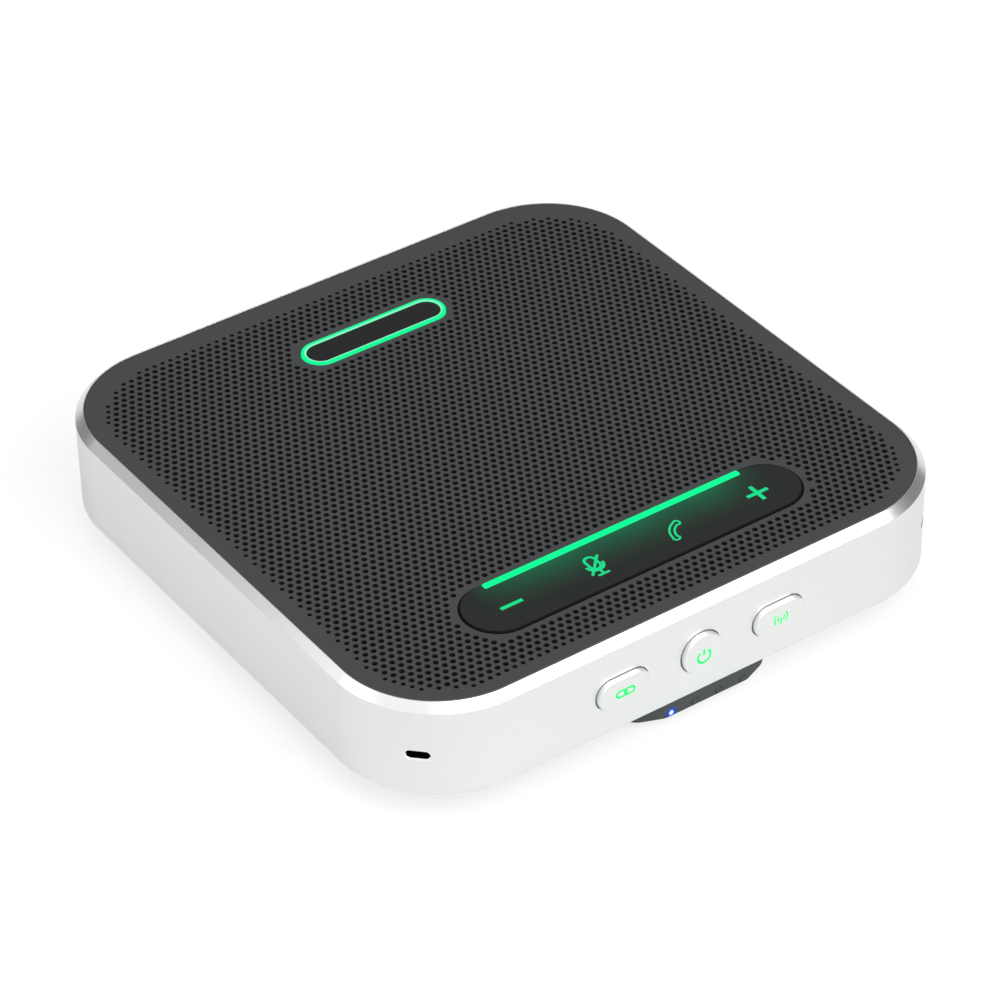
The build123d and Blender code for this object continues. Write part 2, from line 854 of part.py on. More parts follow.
def speaker_lid():
    """Lid of the tub, with the driver's opening and four ears for its screws."""
    low = lid_top_z - lid_thickness
    lid = post(tub_radius, low, lid_top_z)
    web = block(tub_radius - tub_wall, lid_ear_reach, -lid_ear_radius, lid_ear_radius, low, lid_top_z)
    ear = web + post(lid_ear_radius, low, lid_top_z, lid_ear_reach)
    lid += [Rot(0, 0, angle) * ear for angle in diagonals]
    lid -= post(lid_mouth_radius, low - over, lid_top_z + over)
    lid -= at_diagonals(post(small_hole_radius, low - 1, lid_top_z + 1), lid_ear_reach)
    bore = post(small_shank_radius + screw_bore_gap, low - 1, lid_top_z + 1)
    return lid - at_diagonals(bore, driver_screw_circle)


def speaker_gasket():
    """Foam ring between the lid and the driver's flange."""
    foam = ring(driver_flange_radius, lid_mouth_radius, lid_top_z, flange_bottom_z)
    hole = post(small_hole_radius, lid_top_z - 1, flange_bottom_z + 1)
    return foam - at_diagonals(hole, driver_screw_circle)


def speaker_basket():
    """Pressed basket: flange, sloping sides with four windows, and a foot on the top plate."""
    foot_z = steel_top_z()
    foot_top = foot_z + basket_foot_thickness
    step = spider_step
    step_radius = spider_radius - spider_seat
    basket = turned(
        [
            (basket_bore_radius, foot_z),
            (basket_foot_radius, foot_z),
            (basket_mouth_radius, flange_bottom_z),
            (driver_flange_radius, flange_bottom_z),
            (driver_flange_radius, flange_top_z),
            (basket_mouth_radius - basket_sheet, flange_top_z),
            (basket_foot_radius - basket_sheet / 2, foot_top + step),
            (step_radius, foot_top + step),
            (step_radius, foot_top),
            (basket_bore_radius, foot_top),
        ]
    )
    low_z = foot_top + step + basket_window_inset
    high_z = flange_bottom_z - basket_window_inset
    side = basket_window_width / 2
    window = block(0, driver_flange_radius, -side, side, low_z, high_z)
    windows = [Rot(0, 0, a) * window for a in (0, 90, 180, 270)]
    hole = post(small_hole_radius, flange_bottom_z - 1, flange_top_z + 1)
    return basket - windows - at_diagonals(hole, driver_screw_circle)


def yoke_z():
    """Lower face of the magnet system's yoke."""
    return pedestal_inside_z + tub_floor + yoke_clearance


def steel_top_z():
    """Upper face of the magnet system's top plate."""
    return yoke_z() + yoke_thickness + magnet_thickness + top_plate_thickness


def speaker_yoke():
    """Steel back plate with its pole piece."""
    low = yoke_z()
    plate = post(steel_radius, low, low + yoke_thickness)
    return plate + post(pole_radius, low, steel_top_z())


def speaker_magnet():
    """Ferrite ring magnet."""
    low = yoke_z() + yoke_thickness
    return ring(magnet_radius, magnet_bore_radius, low, low + magnet_thickness)


def speaker_top_plate():
    """Steel washer that closes the magnetic gap."""
    winding = coil_radius + coil_sheet + coil_winding
    high = steel_top_z()
    return ring(steel_radius, winding + gap_clearance, high - top_plate_thickness, high)


def cone_foot_z():
    """Where the cone meets the voice coil."""
    return steel_top_z() + basket_foot_thickness + cone_foot_height


def voice_coil():
    """Former with its winding."""
    outer = coil_radius + coil_sheet
    low = steel_top_z() - coil_below_steel
    high = cone_foot_z() + coil_above_cone
    return turned(
        [
            (coil_radius, low),
            (outer + coil_winding, low),
            (outer + coil_winding, low + coil_winding_length),
            (outer, low + coil_winding_length),
            (outer, high),
            (coil_radius, high),
        ]
    )


def speaker_cone():
    """Paper cone with its flat rim."""
    inner = coil_radius + coil_sheet
    foot, rim = cone_foot_z(), flange_top_z
    return turned(
        [
            (inner, foot),
            (cone_edge_radius - cone_rim_width, rim - cone_sheet),
            (cone_edge_radius, rim - cone_sheet),
            (cone_edge_radius, rim),
            (cone_edge_radius - cone_rim_width - cone_sheet / 2, rim),
            (inner, foot + cone_sheet),
        ]
    )


def cone_top_z(radius):
    """Height of the cone's upper face at a radius."""
    inner = coil_radius + coil_sheet
    outer = cone_edge_radius - cone_rim_width - cone_sheet / 2
    low, high = cone_foot_z() + cone_sheet, flange_top_z
    return low + (high - low) * (radius - inner) / (outer - inner)


def dust_cap():
    """Domed cap over the voice coil, seated on the cone."""
    foot = cone_top_z(dust_cap_radius)
    rise = dust_cap_height
    sphere_radius = (dust_cap_radius**2 + rise**2) / (2 * rise)
    centre_z = foot + rise - sphere_radius
    shell = Pos(0, 0, centre_z) * (Sphere(sphere_radius) - Sphere(sphere_radius - dust_cap_sheet))
    return shell & post(sphere_radius + over, foot, foot + 2 * rise)


def surround():
    """Rubber half roll between the cone's rim and the basket's flange."""
    middle = cone_edge_radius + roll_radius
    z = flange_top_z
    outer = roll_radius + roll_sheet / 2
    inner = roll_radius - roll_sheet / 2
    lips = [(middle - outer - surround_lip, middle - inner), (middle + inner, middle + outer + surround_lip)]
    section = Pos(middle, 0) * (Circle(outer) - Circle(inner))
    section &= Pos(middle, outer / 2) * Rectangle(3 * outer, outer)
    for low, high in lips:
        section += Pos((low + high) / 2, roll_sheet / 2) * Rectangle(high - low, roll_sheet)
    return Pos(0, 0, z) * revolve(Plane.XZ * section, Axis.Z)


def spider():
    """Corrugated disc that centres the voice coil."""
    low = steel_top_z() + basket_foot_thickness + spider_step
    inner, outer = coil_radius + coil_sheet + spider_gap, spider_radius
    count = 2 * spider_waves
    first = inner + spider_neck
    step = (outer - spider_seat - first) / count
    crest = [(first + k * step, low + spider_wave * (k % 2)) for k in range(count + 1)]
    line = [(inner, low), *crest, (outer, low)]
    upper = [(r, z + spider_thickness) for r, z in reversed(line)]
    return turned(line + upper)


# ---------------------------------------------------------------- electronics
def main_board():
    """Main board at the back, with holes for its screws."""
    reach = main_board_length / 2
    board = block(-reach, reach, board_front_y, board_back_y, main_board_z, board_top_z)
    holes = [post(small_hole_radius, 0, board_top_z + 1, x, y) for x, y in board_post_places()]
    return board - holes


def board_chips():
    """Packages and connectors on the main board.

    Each is (x, distance from the board's back edge, width, depth, height).
    """
    layout = [
        (-30.0, 14.5, 9.0, 9.0, 1.0),
        (-14.0, 16.5, 7.0, 7.0, 0.9),
        (31.0, 9.5, 6.0, 5.0, 1.0),
        (-42.0, 8.5, 4.0, 5.0, 0.8),
        (-20.0, 6.5, 4.0, 3.0, 1.2),
        (14.0, 6.5, 6.0, 4.0, 2.2),
        (40.0, 16.5, 7.0, 3.5, 3.0),
        (-40.0, 20.5, 5.0, 3.5, 3.0),
    ]
    chips = []
    for x, back, width, depth, height in layout:
        y = board_back_y - back
        chips.append(
            block(
                x - width / 2,
                x + width / 2,
                y - depth / 2,
                y + depth / 2,
                board_top_z,
                board_top_z + height,
            )
        )
    return chips


def radio_shield():
    """Pressed can over the radio."""
    x, y = shield_x, board_back_y - shield_back_gap
    high = board_top_z + shield_height
    outer, inner = shield_side / 2, shield_side / 2 - shield_sheet
    can = block(x - outer, x + outer, y - outer, y + outer, board_top_z, high)
    return can - block(x - inner, x + inner, y - inner, y + inner, 0, high - shield_sheet)


def port_shell():
    """Steel shell of the charging receptacle, open towards the back."""
    mouth = half - port_mouth_inset
    shell = wall_obround(port_width, port_height, mouth - port_length, mouth, 0, port_centre_z)
    width, height = port_width - 2 * port_sheet, port_height - 2 * port_sheet
    return shell - wall_obround(
        width, height, mouth - port_length + port_back_wall, mouth + over, 0, port_centre_z
    )


def port_tongue():
    """Contact tongue inside that shell."""
    mouth = half - port_mouth_inset
    reach, thick = tongue_width / 2, tongue_thickness / 2
    low_y, high_y = mouth - port_length + port_back_wall, mouth - tongue_inset
    return block(-reach, reach, low_y, high_y, port_centre_z - thick, port_centre_z + thick)


def battery():
    """Wrapped lithium cell on the cover, beside the speaker box."""
    reach_x, reach_y = battery_width / 2, battery_length / 2
    cell = block(
        battery_centre_x - reach_x,
        battery_centre_x + reach_x,
        -reach_y,
        reach_y,
        cover_top_z,
        cover_top_z + battery_thickness,
    )
    return fillet(cell.edges().filter_by(Axis.Y), battery_round)


# ---------------------------------------------------------------- fasteners
def cover_screws():
    """Four screws from below through the cover into the frame's bosses."""
    seat_z = frame_bottom_z + screw_sunk + screw_head_height
    piece = screw(screw_head_radius, screw_head_height, screw_shank_radius, screw_length, False)
    return [Pos(x, y, seat_z) * piece for x, y in cover_screw_places()]


def small_screw():
    """Small pan head screw, head up, seat at the origin."""
    return screw(small_head_radius, small_head_height, small_shank_radius, small_screw_length)


def lid_screws():
    """Four screws through the lid's ears."""
    return at_diagonals(Pos(0, 0, lid_top_z) * small_screw(), lid_ear_reach)


def driver_screws():
    """Four short screws through the driver's flange into the lid."""
    length = flange_top_z - lid_top_z + driver_screw_bite
    short = screw(small_head_radius, small_head_height, small_shank_radius, length)
    return at_diagonals(Pos(0, 0, flange_top_z) * short, driver_screw_circle)


def board_screws():
    """Four screws through the main board into its posts."""
    return [Pos(x, y, board_top_z) * small_screw() for x, y in board_post_places()]


# ---------------------------------------------------------------- write every sub-part
save("side_frame", side_frame())
save("top_plate", top_plate())
save("acoustic_scrim", scrim())
save("touch_lens", touch_lens())
save("light_strip", light_strip())
save("touch_carrier", carrier(touch_length, touch_width, touch_centre_y))
save("touch_board", light_board(touch_length, touch_width, touch_centre_y))
save("badge_ring", badge_ring())
save("badge_plate", badge_plate())
save("badge_carrier", carrier(badge_length, badge_width, badge_centre_y))
save("badge_board", light_board(badge_length, badge_width, badge_centre_y))
save("bottom_cover", bottom_cover())
save("rubber_pad", rubber_pad())
lights = battery_lights()
save("battery_light_lit", lights[0])
save("battery_lights_dark", *lights[1:])
save("chin_board", chin_board())
save("chin_leds", *chin_leds())
for key in key_places:
    save(f"{key}_button", push_key(key))
    save(f"{key}_switch_plunger", switch_plunger(key))
save("switch_bodies", *switch_bodies())
save("key_board", key_board())
save("mic_boots", *at_corners(mic_boot()))
save("mic_capsules", *at_corners(mic_capsule()))
save("mic_boards", *at_corners(mic_board()))
save("speaker_tub", speaker_tub())
save("speaker_lid", speaker_lid())
save("speaker_gasket", speaker_gasket())
save("speaker_basket", speaker_basket())
save("speaker_yoke", speaker_yoke())
save("speaker_magnet", speaker_magnet())
save("speaker_top_plate", speaker_top_plate())
save("voice_coil", voice_coil())
save("speaker_cone", speaker_cone())
save("dust_cap", dust_cap())
save("speaker_surround", surround())
save("speaker_spider", spider())
save("main_board", main_board())
save("board_chips", *board_chips())
save("radio_shield", radio_shield())
save("port_shell", port_shell())
save("port_tongue", port_tongue())
save("battery", battery())
save("cover_screws", *cover_screws())
save("lid_screws", *lid_screws())
save("driver_screws", *driver_screws())
save("board_screws", *board_screws())
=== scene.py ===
# %% [markdown]
# # A square conference speakerphone
#
# The speakerphone is a low square box with round corners. A silver aluminium frame runs round
# its sides, and a dark perforated plate closes the top. The plate holds a glossy touch panel with a
# green light bar and a small badge with a green ring. Three keys sit in the front wall, and a
# plastic chin with four battery lights hangs under it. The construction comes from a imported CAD
# model, which is loaded first and never moved. Everything here is a better skin for those parts.

# %% Load the construction
import math

import bmesh
import bpy
from mathutils import Matrix, Vector


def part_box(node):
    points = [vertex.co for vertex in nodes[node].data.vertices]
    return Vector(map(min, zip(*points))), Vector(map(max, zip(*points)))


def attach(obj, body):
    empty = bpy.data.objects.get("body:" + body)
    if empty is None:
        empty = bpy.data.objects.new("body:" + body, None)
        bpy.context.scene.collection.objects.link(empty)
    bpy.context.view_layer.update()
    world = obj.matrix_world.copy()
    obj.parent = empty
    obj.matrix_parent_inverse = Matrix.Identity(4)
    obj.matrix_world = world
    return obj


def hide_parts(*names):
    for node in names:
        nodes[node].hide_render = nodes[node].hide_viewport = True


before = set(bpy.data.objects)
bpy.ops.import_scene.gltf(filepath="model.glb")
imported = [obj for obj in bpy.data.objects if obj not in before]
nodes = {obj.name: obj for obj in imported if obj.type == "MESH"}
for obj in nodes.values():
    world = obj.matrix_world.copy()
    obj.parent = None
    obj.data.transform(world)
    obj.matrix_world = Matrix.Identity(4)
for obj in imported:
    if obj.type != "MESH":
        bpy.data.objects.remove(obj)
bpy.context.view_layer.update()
print("loaded", len(nodes), "construction parts")

# %% [markdown]
# ## Working in millimetres
#
# The scene is in metres, but the parts of a speakerphone are easier to think of in millimetres.
# Each piece is shaped in millimetres and scaled once, when it becomes an object. Places come from
# the construction: `span` gives the two corners of a part's box.

# %% Sizes that the construction gives
MM = 0.001


def span(node):
    """Lowest and highest corner of a construction part, in millimetres."""
    low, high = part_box(node)
    return low / MM, high / MM


frame_low, frame_high = span("side_frame")
body_half = frame_high.x
body_corner = 25.0
top_z = frame_high.z
wall_low_z = frame_low.z
print("body", 2 * body_half, "mm wide, from", wall_low_z, "to", top_z, "mm high")

# %% [markdown]
# ## Round loops
#
# Almost every outline on this body is a rectangle with round corners, or its extreme, a stadium.
# A vertex bevel could round the corners, but a circle whose quarters are pushed apart gives the
# same outline with the same number of points whatever its size. Loops with equal counts join into
# clean quads, so this is the base of most of the pieces. The circle is turned by half a step, so
# that no point lies on an axis, and is enlarged a little, so that its flats are where they should be.

# %% Loops and the skins between them
def once_each(items):
    """The items without repeats. A set would give them in another order at each run."""
    return list(dict.fromkeys(items))


def round_loop(bm, half_x, half_y, corner, z=0.0, centre=(0.0, 0.0), quarter=16):
    """Edges of a level rectangle with round corners."""
    count = 4 * quarter
    radius = max(corner, 0.01) / math.cos(math.pi / count)
    verts = bmesh.ops.create_circle(bm, segments=count, radius=radius)["verts"]
    half_step = Matrix.Rotation(math.pi / count, 3, "Z")
    bmesh.ops.rotate(bm, verts=verts, cent=(0, 0, 0), matrix=half_step)
    for vert in verts:
        vert.co.x += math.copysign(half_x - corner, vert.co.x) + centre[0]
        vert.co.y += math.copysign(half_y - corner, vert.co.y) + centre[1]
        vert.co.z = z
    return once_each(edge for vert in verts for edge in vert.link_edges)


def filleted(corners, closed=False, steps=4):
    """Points of a line whose corners are rounded. Each corner is two coordinates and a radius."""
    points = []
    for index, (a, b, radius) in enumerate(corners):
        here = Vector((a, b))
        if radius == 0 or (not closed and index in (0, len(corners) - 1)):
            points.append(here)
            continue
        back = (Vector(corners[index - 1][:2]) - here).normalized()
        ahead = (Vector(corners[(index + 1) % len(corners)][:2]) - here).normalized()
        half_angle = back.angle(ahead) / 2
        centre = here + (back + ahead).normalized() * radius / math.sin(half_angle)
        reach = radius / math.tan(half_angle)
        first = (here + back * reach - centre).normalized()
        last = (here + ahead * reach - centre).normalized()
        points += [centre + first.slerp(last, k / steps) * radius for k in range(steps + 1)]
    return points


def lofted(half_x, half_y, corner, profile, closed=False, centre=(0.0, 0.0), quarter=16):
    """A bmesh of round loops joined in order. The profile is a list of (inset, height)."""
    bm = bmesh.new()
    loops = []
    for inset, z in profile:
        size = (half_x - inset, half_y - inset, corner - inset)
        loops.append(round_loop(bm, *size, z, centre, quarter))
    pairs = list(zip(loops, loops[1:]))
    if closed:
        pairs.append((loops[-1], loops[0]))
    for lower, upper in pairs:
        bmesh.ops.bridge_loops(bm, edges=lower + upper)
    if not closed:
        for edges in (loops[0], loops[-1]):
            bmesh.ops.edgeloop_fill(bm, edges=edges)
    bmesh.ops.recalc_face_normals(bm, faces=bm.faces)
    return bm


def soft_block(half_x, half_y, corner, low_z, high_z, rim, inset, steps=4, **options):
    """A block with a rounded upper rim. Its flat top is outlined once more, at an inset."""
    line = filleted([(0.0, low_z, 0.0), (0.0, high_z, rim), (inset, high_z, 0.0)], steps=steps)
    return lofted(half_x, half_y, corner, line, **options)


def turned(profile, steps=96, centre=(0.0, 0.0)):
    """A bmesh turned round an upright axis from a line of (radius, height), which may end on it."""
    bm = bmesh.new()
    rings = []
    for radius, z in profile:
        ring = []
        for k in range(steps if radius > 0 else 1):
            angle = 2 * math.pi * k / steps
            x, y = radius * math.cos(angle), radius * math.sin(angle)
            ring.append(bm.verts.new((x + centre[0], y + centre[1], z)))
        rings.append(ring)
    for lower, upper in zip(rings, rings[1:]):
        for k in range(steps):
            below = [lower[n % len(lower)] for n in (k, k + 1)]
            above = [upper[n % len(upper)] for n in (k + 1, k)]
            bm.faces.new(once_each(below + above))
    bmesh.ops.recalc_face_normals(bm, faces=bm.faces)
    return bm


# %% [markdown]
# ## Joining, cutting and finishing
#
# A Boolean modifier cuts the keys' holes and the microphone slots. It works on objects, so two
# passing objects are made, evaluated and removed. `finish` then scales a bmesh to metres, keeps
# only real corners sharp, gives it its materials and seats it on its body. A Weighted Normal
# modifier keeps the big flat faces flat beside their small rounds.

# %% Booleans and finished pieces
def merged(*shapes):
    """One bmesh that holds several."""
    whole = bmesh.new()
    for bm in shapes:
        mesh = bpy.data.meshes.new("passing")
        bm.to_mesh(mesh)
        whole.from_mesh(mesh)
        bpy.data.meshes.remove(mesh)
        bm.free()
    return whole


def placed(bm, matrix):
    """The bmesh turned and moved."""
    bmesh.ops.transform(bm, matrix=matrix, verts=bm.verts)
    return bm


def turned_by(bm, degrees, axis):
    """The bmesh turned round an axis through the origin."""
    return placed(bm, Matrix.Rotation(math.radians(degrees), 4, axis))


def moved(bm, x, y, z):
    """The bmesh moved, in millimetres."""
    return placed(bm, Matrix.Translation((x, y, z)))


def facing_front(bm):
    """Turns what was shaped lying on its back, so that its top faces the front."""
    return turned_by(bm, 90, "X")


def boolean(target, tool, operation):
    """The target with the tool's volume taken away or added."""
    passing = []
    for bm in (target, tool):
        mesh = bpy.data.meshes.new("passing")
        for _ in range(3):
            mesh.materials.append(None)
        bm.to_mesh(mesh)
        bm.free()
        body = bpy.data.objects.new("passing", mesh)
        bpy.context.scene.collection.objects.link(body)
        passing.append(body)
    modifier = passing[0].modifiers.new("boolean", "BOOLEAN")
    modifier.object = passing[1]
    modifier.operation = operation
    modifier.solver = "EXACT"
    modifier.material_mode = "INDEX"
    bpy.context.view_layer.update()
    evaluated = passing[0].evaluated_get(bpy.context.evaluated_depsgraph_get())
    result = bmesh.new()
    result.from_mesh(evaluated.to_mesh())
    for body in passing:
        mesh = body.data
        bpy.data.objects.remove(body)
        bpy.data.meshes.remove(mesh)
    return result


def finish(bm, name, materials, body="body", replaced=(), sharp=28.0):
    """Turns a bmesh into a finished piece that rides on a body."""
    bmesh.ops.scale(bm, vec=(MM, MM, MM), verts=bm.verts)
    mesh = bpy.data.meshes.new(name)
    bm.to_mesh(mesh)
    bm.free()
    mesh.shade_smooth()
    mesh.set_sharp_from_angle(angle=math.radians(sharp))
    for material in materials:
        mesh.materials.append(material)
    piece = bpy.data.objects.new(name, mesh)
    bpy.context.scene.collection.objects.link(piece)
    weighted = piece.modifiers.new("flat faces stay flat", "WEIGHTED_NORMAL")
    weighted.keep_sharp = True
    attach(piece, body)
    if replaced:
        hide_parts(*replaced)
    triangles = sum(len(polygon.vertices) - 2 for polygon in mesh.polygons)
    print(name, triangles, "triangles")
    return piece


# %% [markdown]
# ## Shader arithmetic
#
# A pattern is easier to read as a sum than as a chain of nodes. `Shade` wraps one socket, and
# plus, minus and times on it add Math nodes. Its `node` method adds any other node: its settings
# are set first, because some of them decide which sockets there are.

# %% One class for node sockets
class Shade:
    """A socket in a node tree, with arithmetic."""

    def __init__(self, tree, socket=None):
        self.tree = tree
        self.socket = socket

    def node(self, kind, settings=None, inputs=None, output=0):
        """Adds a node and returns one of its outputs."""
        made = self.tree.nodes.new(kind)
        for key, value in (settings or {}).items():
            if key == "stops":
                set_stops(made.color_ramp, value)
            else:
                setattr(made, key, value)
        self.feed(made, inputs or {})
        return Shade(self.tree, made.outputs[output])

    def feed(self, made, inputs):
        """Links each input of a node, or sets it where the value is the same all over."""
        for key, value in inputs.items():
            if isinstance(value, Shade):
                self.tree.links.new(value.socket, made.inputs[key])
            else:
                made.inputs[key].default_value = value

    def maths(self, operation, *values, clamp=False):
        """Adds a Math node."""
        settings = {"operation": operation, "use_clamp": clamp}
        return self.node("ShaderNodeMath", settings, dict(enumerate(values)))

    def __add__(self, other):
        return self.maths("ADD", self, other)

    def __sub__(self, other):
        return self.maths("SUBTRACT", self, other)

    def __rsub__(self, other):
        return self.maths("SUBTRACT", other, self)

    def __mul__(self, other):
        return self.maths("MULTIPLY", self, other)

    def __truediv__(self, other):
        return self.maths("DIVIDE", self, other)

    __radd__ = __add__
    __rmul__ = __mul__


def set_stops(ramp, stops):
    """Gives a colour ramp its stops, each a position and a colour."""
    while len(ramp.elements) < len(stops):
        ramp.elements.new(1.0)
    for element, (position, colour) in zip(ramp.elements, stops):
        element.position = position
        element.color = colour


def tint(red, green, blue):
    """A screen colour from 0 to 255 as the linear colour that shaders use."""
    linear = []
    for value in (red, green, blue):
        share = value / 255
        linear.append(share / 12.92 if share <= 0.04045 else ((share + 0.055) / 1.055) ** 2.4)
    return (*linear, 1.0)


# %% [markdown]
# ## The base of every finish
#
# Real surfaces vary a little: paint is thicker here, anodising is blasted finer there. So each
# finish starts from two noises on Object coordinates, a broad one that drifts the colour and a
# fine one that is the grain. The grain also moves the roughness and feeds a Bump node. Object
# coordinates are in metres, so a noise scale of 1000 gives features of about a millimetre.

# %% A finish from a few numbers
made_finishes = {}


def surface(name):
    """A new material with its Principled shader and a Shade to build from."""
    material = bpy.data.materials.new(name)
    made_finishes[name] = material
    material.use_nodes = True
    tree = material.node_tree
    shader = tree.nodes["Principled BSDF"]
    return material, shader, Shade(tree)


def object_place(shade):
    """Object coordinates, in metres."""
    return shade.node("ShaderNodeTexCoord", output="Object")


def noise(shade, scale, detail=2.0, place=None):
    """A noise from 0 to 1."""
    inputs = {"Vector": place or object_place(shade), "Scale": scale, "Detail": detail}
    return shade.node("ShaderNodeTexNoise", None, inputs)


def mixed(shade, share, first, second):
    """Two colours mixed by a share."""
    return shade.node("ShaderNodeMix", {"data_type": "RGBA"}, {0: share, 6: first, 7: second}, 2)


def bumped(shade, height, distance, strength=1.0):
    """A normal from a height in metres."""
    inputs = {"Height": height, "Distance": distance, "Strength": strength}
    return shade.node("ShaderNodeBump", None, inputs)


def link(shade, shader, **sockets):
    """Feeds the shader's sockets, whose names are written with underscores."""
    shade.feed(shader, {key.replace("_", " "): value for key, value in sockets.items()})


def grained(
    name,
    colour,
    roughness,
    metallic=0.0,
    drift=0.06,
    grain=900.0,
    relief=0.01,
    specular=0.5,
):
    """A finish with a drifting colour and a fine grain. The relief is in millimetres."""
    material, shader, shade = surface(name)
    broad = noise(shade, 45.0)
    fine = noise(shade, grain, 3.0)
    dark = [c * (1 - drift) for c in colour[:3]] + [1.0]
    light = [min(1.0, c * (1 + drift)) for c in colour[:3]] + [1.0]
    base = mixed(shade, broad * 0.6 + fine * 0.4, dark, light)
    rough = fine * 0.06 + (roughness - 0.03)
    link(shade, shader, Base_Color=base, Roughness=rough, Normal=bumped(shade, fine, relief * MM))
    link(shade, shader, Metallic=metallic, Specular_IOR_Level=specular)
    return material


# %% [markdown]
# ## Aluminium
#
# The side frame is bead-blasted and anodised, which gives a soft silver-white metal. After the
# anodising its top edge is cut at 45 degrees with a polished tool, so that one band is smoother
# and mirrors the room. Both are full metals: their brightness is the brightness of what they mirror.
# The microphone slots are lined with matt black rubber, which swallows the light that falls in.
# The walls inside the microphone slots are painted matt black, a painted shade for their dark inside,
# and the rubber microphone boots behind them get the same black.

# %% Satin and bright-cut aluminium, and the black of the slots and the boots
satin = grained(
    "satin_aluminium", tint(235, 237, 235), 0.46, 1.0, drift=0.012, grain=5200.0, relief=0.004
)


def bright_cut():
    """Polished band with the fine lines that the cutting tool leaves along it."""
    material, shader, shade = surface("bright_cut_aluminium")
    lines = shade.node(
        "ShaderNodeTexWave",
        {"bands_direction": "Z", "wave_profile": "SIN"},
        {"Vector": object_place(shade), "Scale": 2600.0, "Distortion": 1.5, "Detail": 2.0},
    )
    cloud = noise(shade, 120.0)
    base = mixed(shade, cloud, tint(244, 244, 243), tint(250, 250, 250))
    link(
        shade,
        shader,
        Base_Color=base,
        Roughness=cloud * 0.05 + 0.2,
        Normal=bumped(shade, lines, 0.0006 * MM),
        Metallic=1.0,
    )
    return material


bright = bright_cut()
# Matt black for the walls inside the microphone slots, where it is painted shade, and for the rubber
# boots behind them.
boot_rubber_and_slot_shade = grained(
    "boot_rubber_and_slot_shade", tint(5, 5, 5), 0.9, drift=0.12, grain=1400.0, relief=0.02, specular=0.02
)
print("aluminium finishes ready")

# %% [markdown]
# ## The side frame
#
# The frame is one closed section taken round the square: an outer wall, a 45 degree band, a thin
# rim, a rebate that the plate drops into, a ledge under it and the inner wall. Every corner of the
# section gets its small radius, because a perfectly sharp edge never catches light. The section is
# lofted from round loops, and the Boolean then cuts the openings with flared tools, whose faces
# bring their finish along: a small bright bevel round each mouth, and, inside the microphone slots,
# black walls that are painted shade.

# %% Section of the frame, and its openings
frame_wall = 2.0
band = 1.8  # the bright-cut band, across and down
rim = 0.2
plate_low_z = span("top_plate")[0].z
ledge_reach = 4.0
ledge_low_z = 27.5
key_gap = 0.2
key_flare = 0.1
key_nodes = {"link": "link_button", "power": "power_button", "pairing": "pairing_button"}
key_flange_reach = 0.8
round_key = 9.9
long_key = (13.0, 7.3)
key_z = (span("power_button")[0].z + span("power_button")[1].z) / 2


def upright_opening(half_x, half_z, flare, depth=4.0):
    """A tool for an opening through a wall: straight inside, flared at its mouth, facing -Y."""
    profile = [(0.0, -depth), (0.0, -flare), (-flare - 1.0, 1.0)]
    tool = lofted(half_x, half_z, min(half_x, half_z), profile, quarter=12)
    for face in tool.faces:
        sloping = 0.2 < abs(face.normal.z) < 0.9
        face.material_index = 1 if sloping else 0
    return facing_front(tool)


def key_centre_x(node):
    """Where a key's middle is, across the front."""
    low, high = span(node)
    return (low.x + high.x) / 2


def key_half_size(key):
    """Half width and half height of a key's cap."""
    if key == "power":
        return round_key / 2, round_key / 2
    return long_key[0] / 2, long_key[1] / 2


section = filleted(
    [
        (0.0, wall_low_z, 0.5),
        (0.0, top_z - band, 0.12),
        (band, top_z, 0.06),
        (band + rim, top_z, 0.04),
        (band + rim, plate_low_z, 0.0),
        (ledge_reach, plate_low_z, 0.1),
        (ledge_reach, ledge_low_z, 0.1),
        (frame_wall, ledge_low_z, 0.0),
        (frame_wall, wall_low_z, 0.2),
    ],
    closed=True,
    steps=3,
)
shell = lofted(body_half, body_half, body_corner, section, closed=True, quarter=32)
for face in shell.faces:
    sloping = 0.5 < face.normal.z < 0.85
    face.material_index = 1 if sloping and face.calc_center_median().z > top_z - band else 0

tools = []
for key, node in key_nodes.items():
    half_x, half_z = key_half_size(key)
    tool = upright_opening(half_x + key_gap, half_z + key_gap, key_flare)
    tools.append(moved(tool, key_centre_x(node), -body_half, key_z))
mic_slot = (4.9 / 2, 1.8 / 2)
mic_z = 17.2
mic_flare = 0.35
corner_centre = body_half - body_corner
for quarter_turn in range(4):
    tool = upright_opening(*mic_slot, mic_flare)
    # the straight walls inside the slot get the black, painted shade
    for face in tool.faces:
        face.material_index = face.material_index or 2
    turned_by(moved(tool, 0, -body_corner, 0), 45, "Z")
    moved(tool, corner_centre, -corner_centre, mic_z)
    tools.append(turned_by(tool, 90 * quarter_turn, "Z"))
port_low, port_high = span("port_shell")
port_z = (port_low.z + port_high.z) / 2
port_gap = 0.35
port_flare = 0.3
port_half = (port_high.x + port_gap, (port_high.z - port_low.z) / 2 + port_gap)
tool = turned_by(upright_opening(*port_half, port_flare), 180, "Z")
tools.append(moved(tool, 0, body_half, port_z))
shell = boolean(shell, merged(*tools), "DIFFERENCE")
finishes = [satin, bright, boot_rubber_and_slot_shade]
finish(shell, "aluminium_frame", finishes, replaced=["side_frame"])

# %% [markdown]
# ## Paint, fabric and the perforated plate
#
# The top plate is thin metal with a dark grey satin coat. More than four thousand holes cross it in
# staggered rows, and black fabric shows through them. The holes are real geometry, because the
# light and shade at their edges is what makes a grille read as a grille. One hexagon with a round
# hole is bridged once and then doubled, again and again, across the plate. Hexagons outside the
# perforated field are deleted, and the plain border is filled between what is left and the plate's
# own outline.

# %% Paint, and the black of the fabric and of the hole walls
paint = grained("plate_paint", tint(64, 66, 68), 0.5, drift=0.03, grain=2600.0, relief=0.004)
# The same black is the fabric seen through the holes and, on the metal walls of the holes, painted
# shade.
fabric_and_hole_shade = grained("hole_black", tint(5, 5, 5), 0.95, drift=0.4, grain=3000.0, relief=0.05)

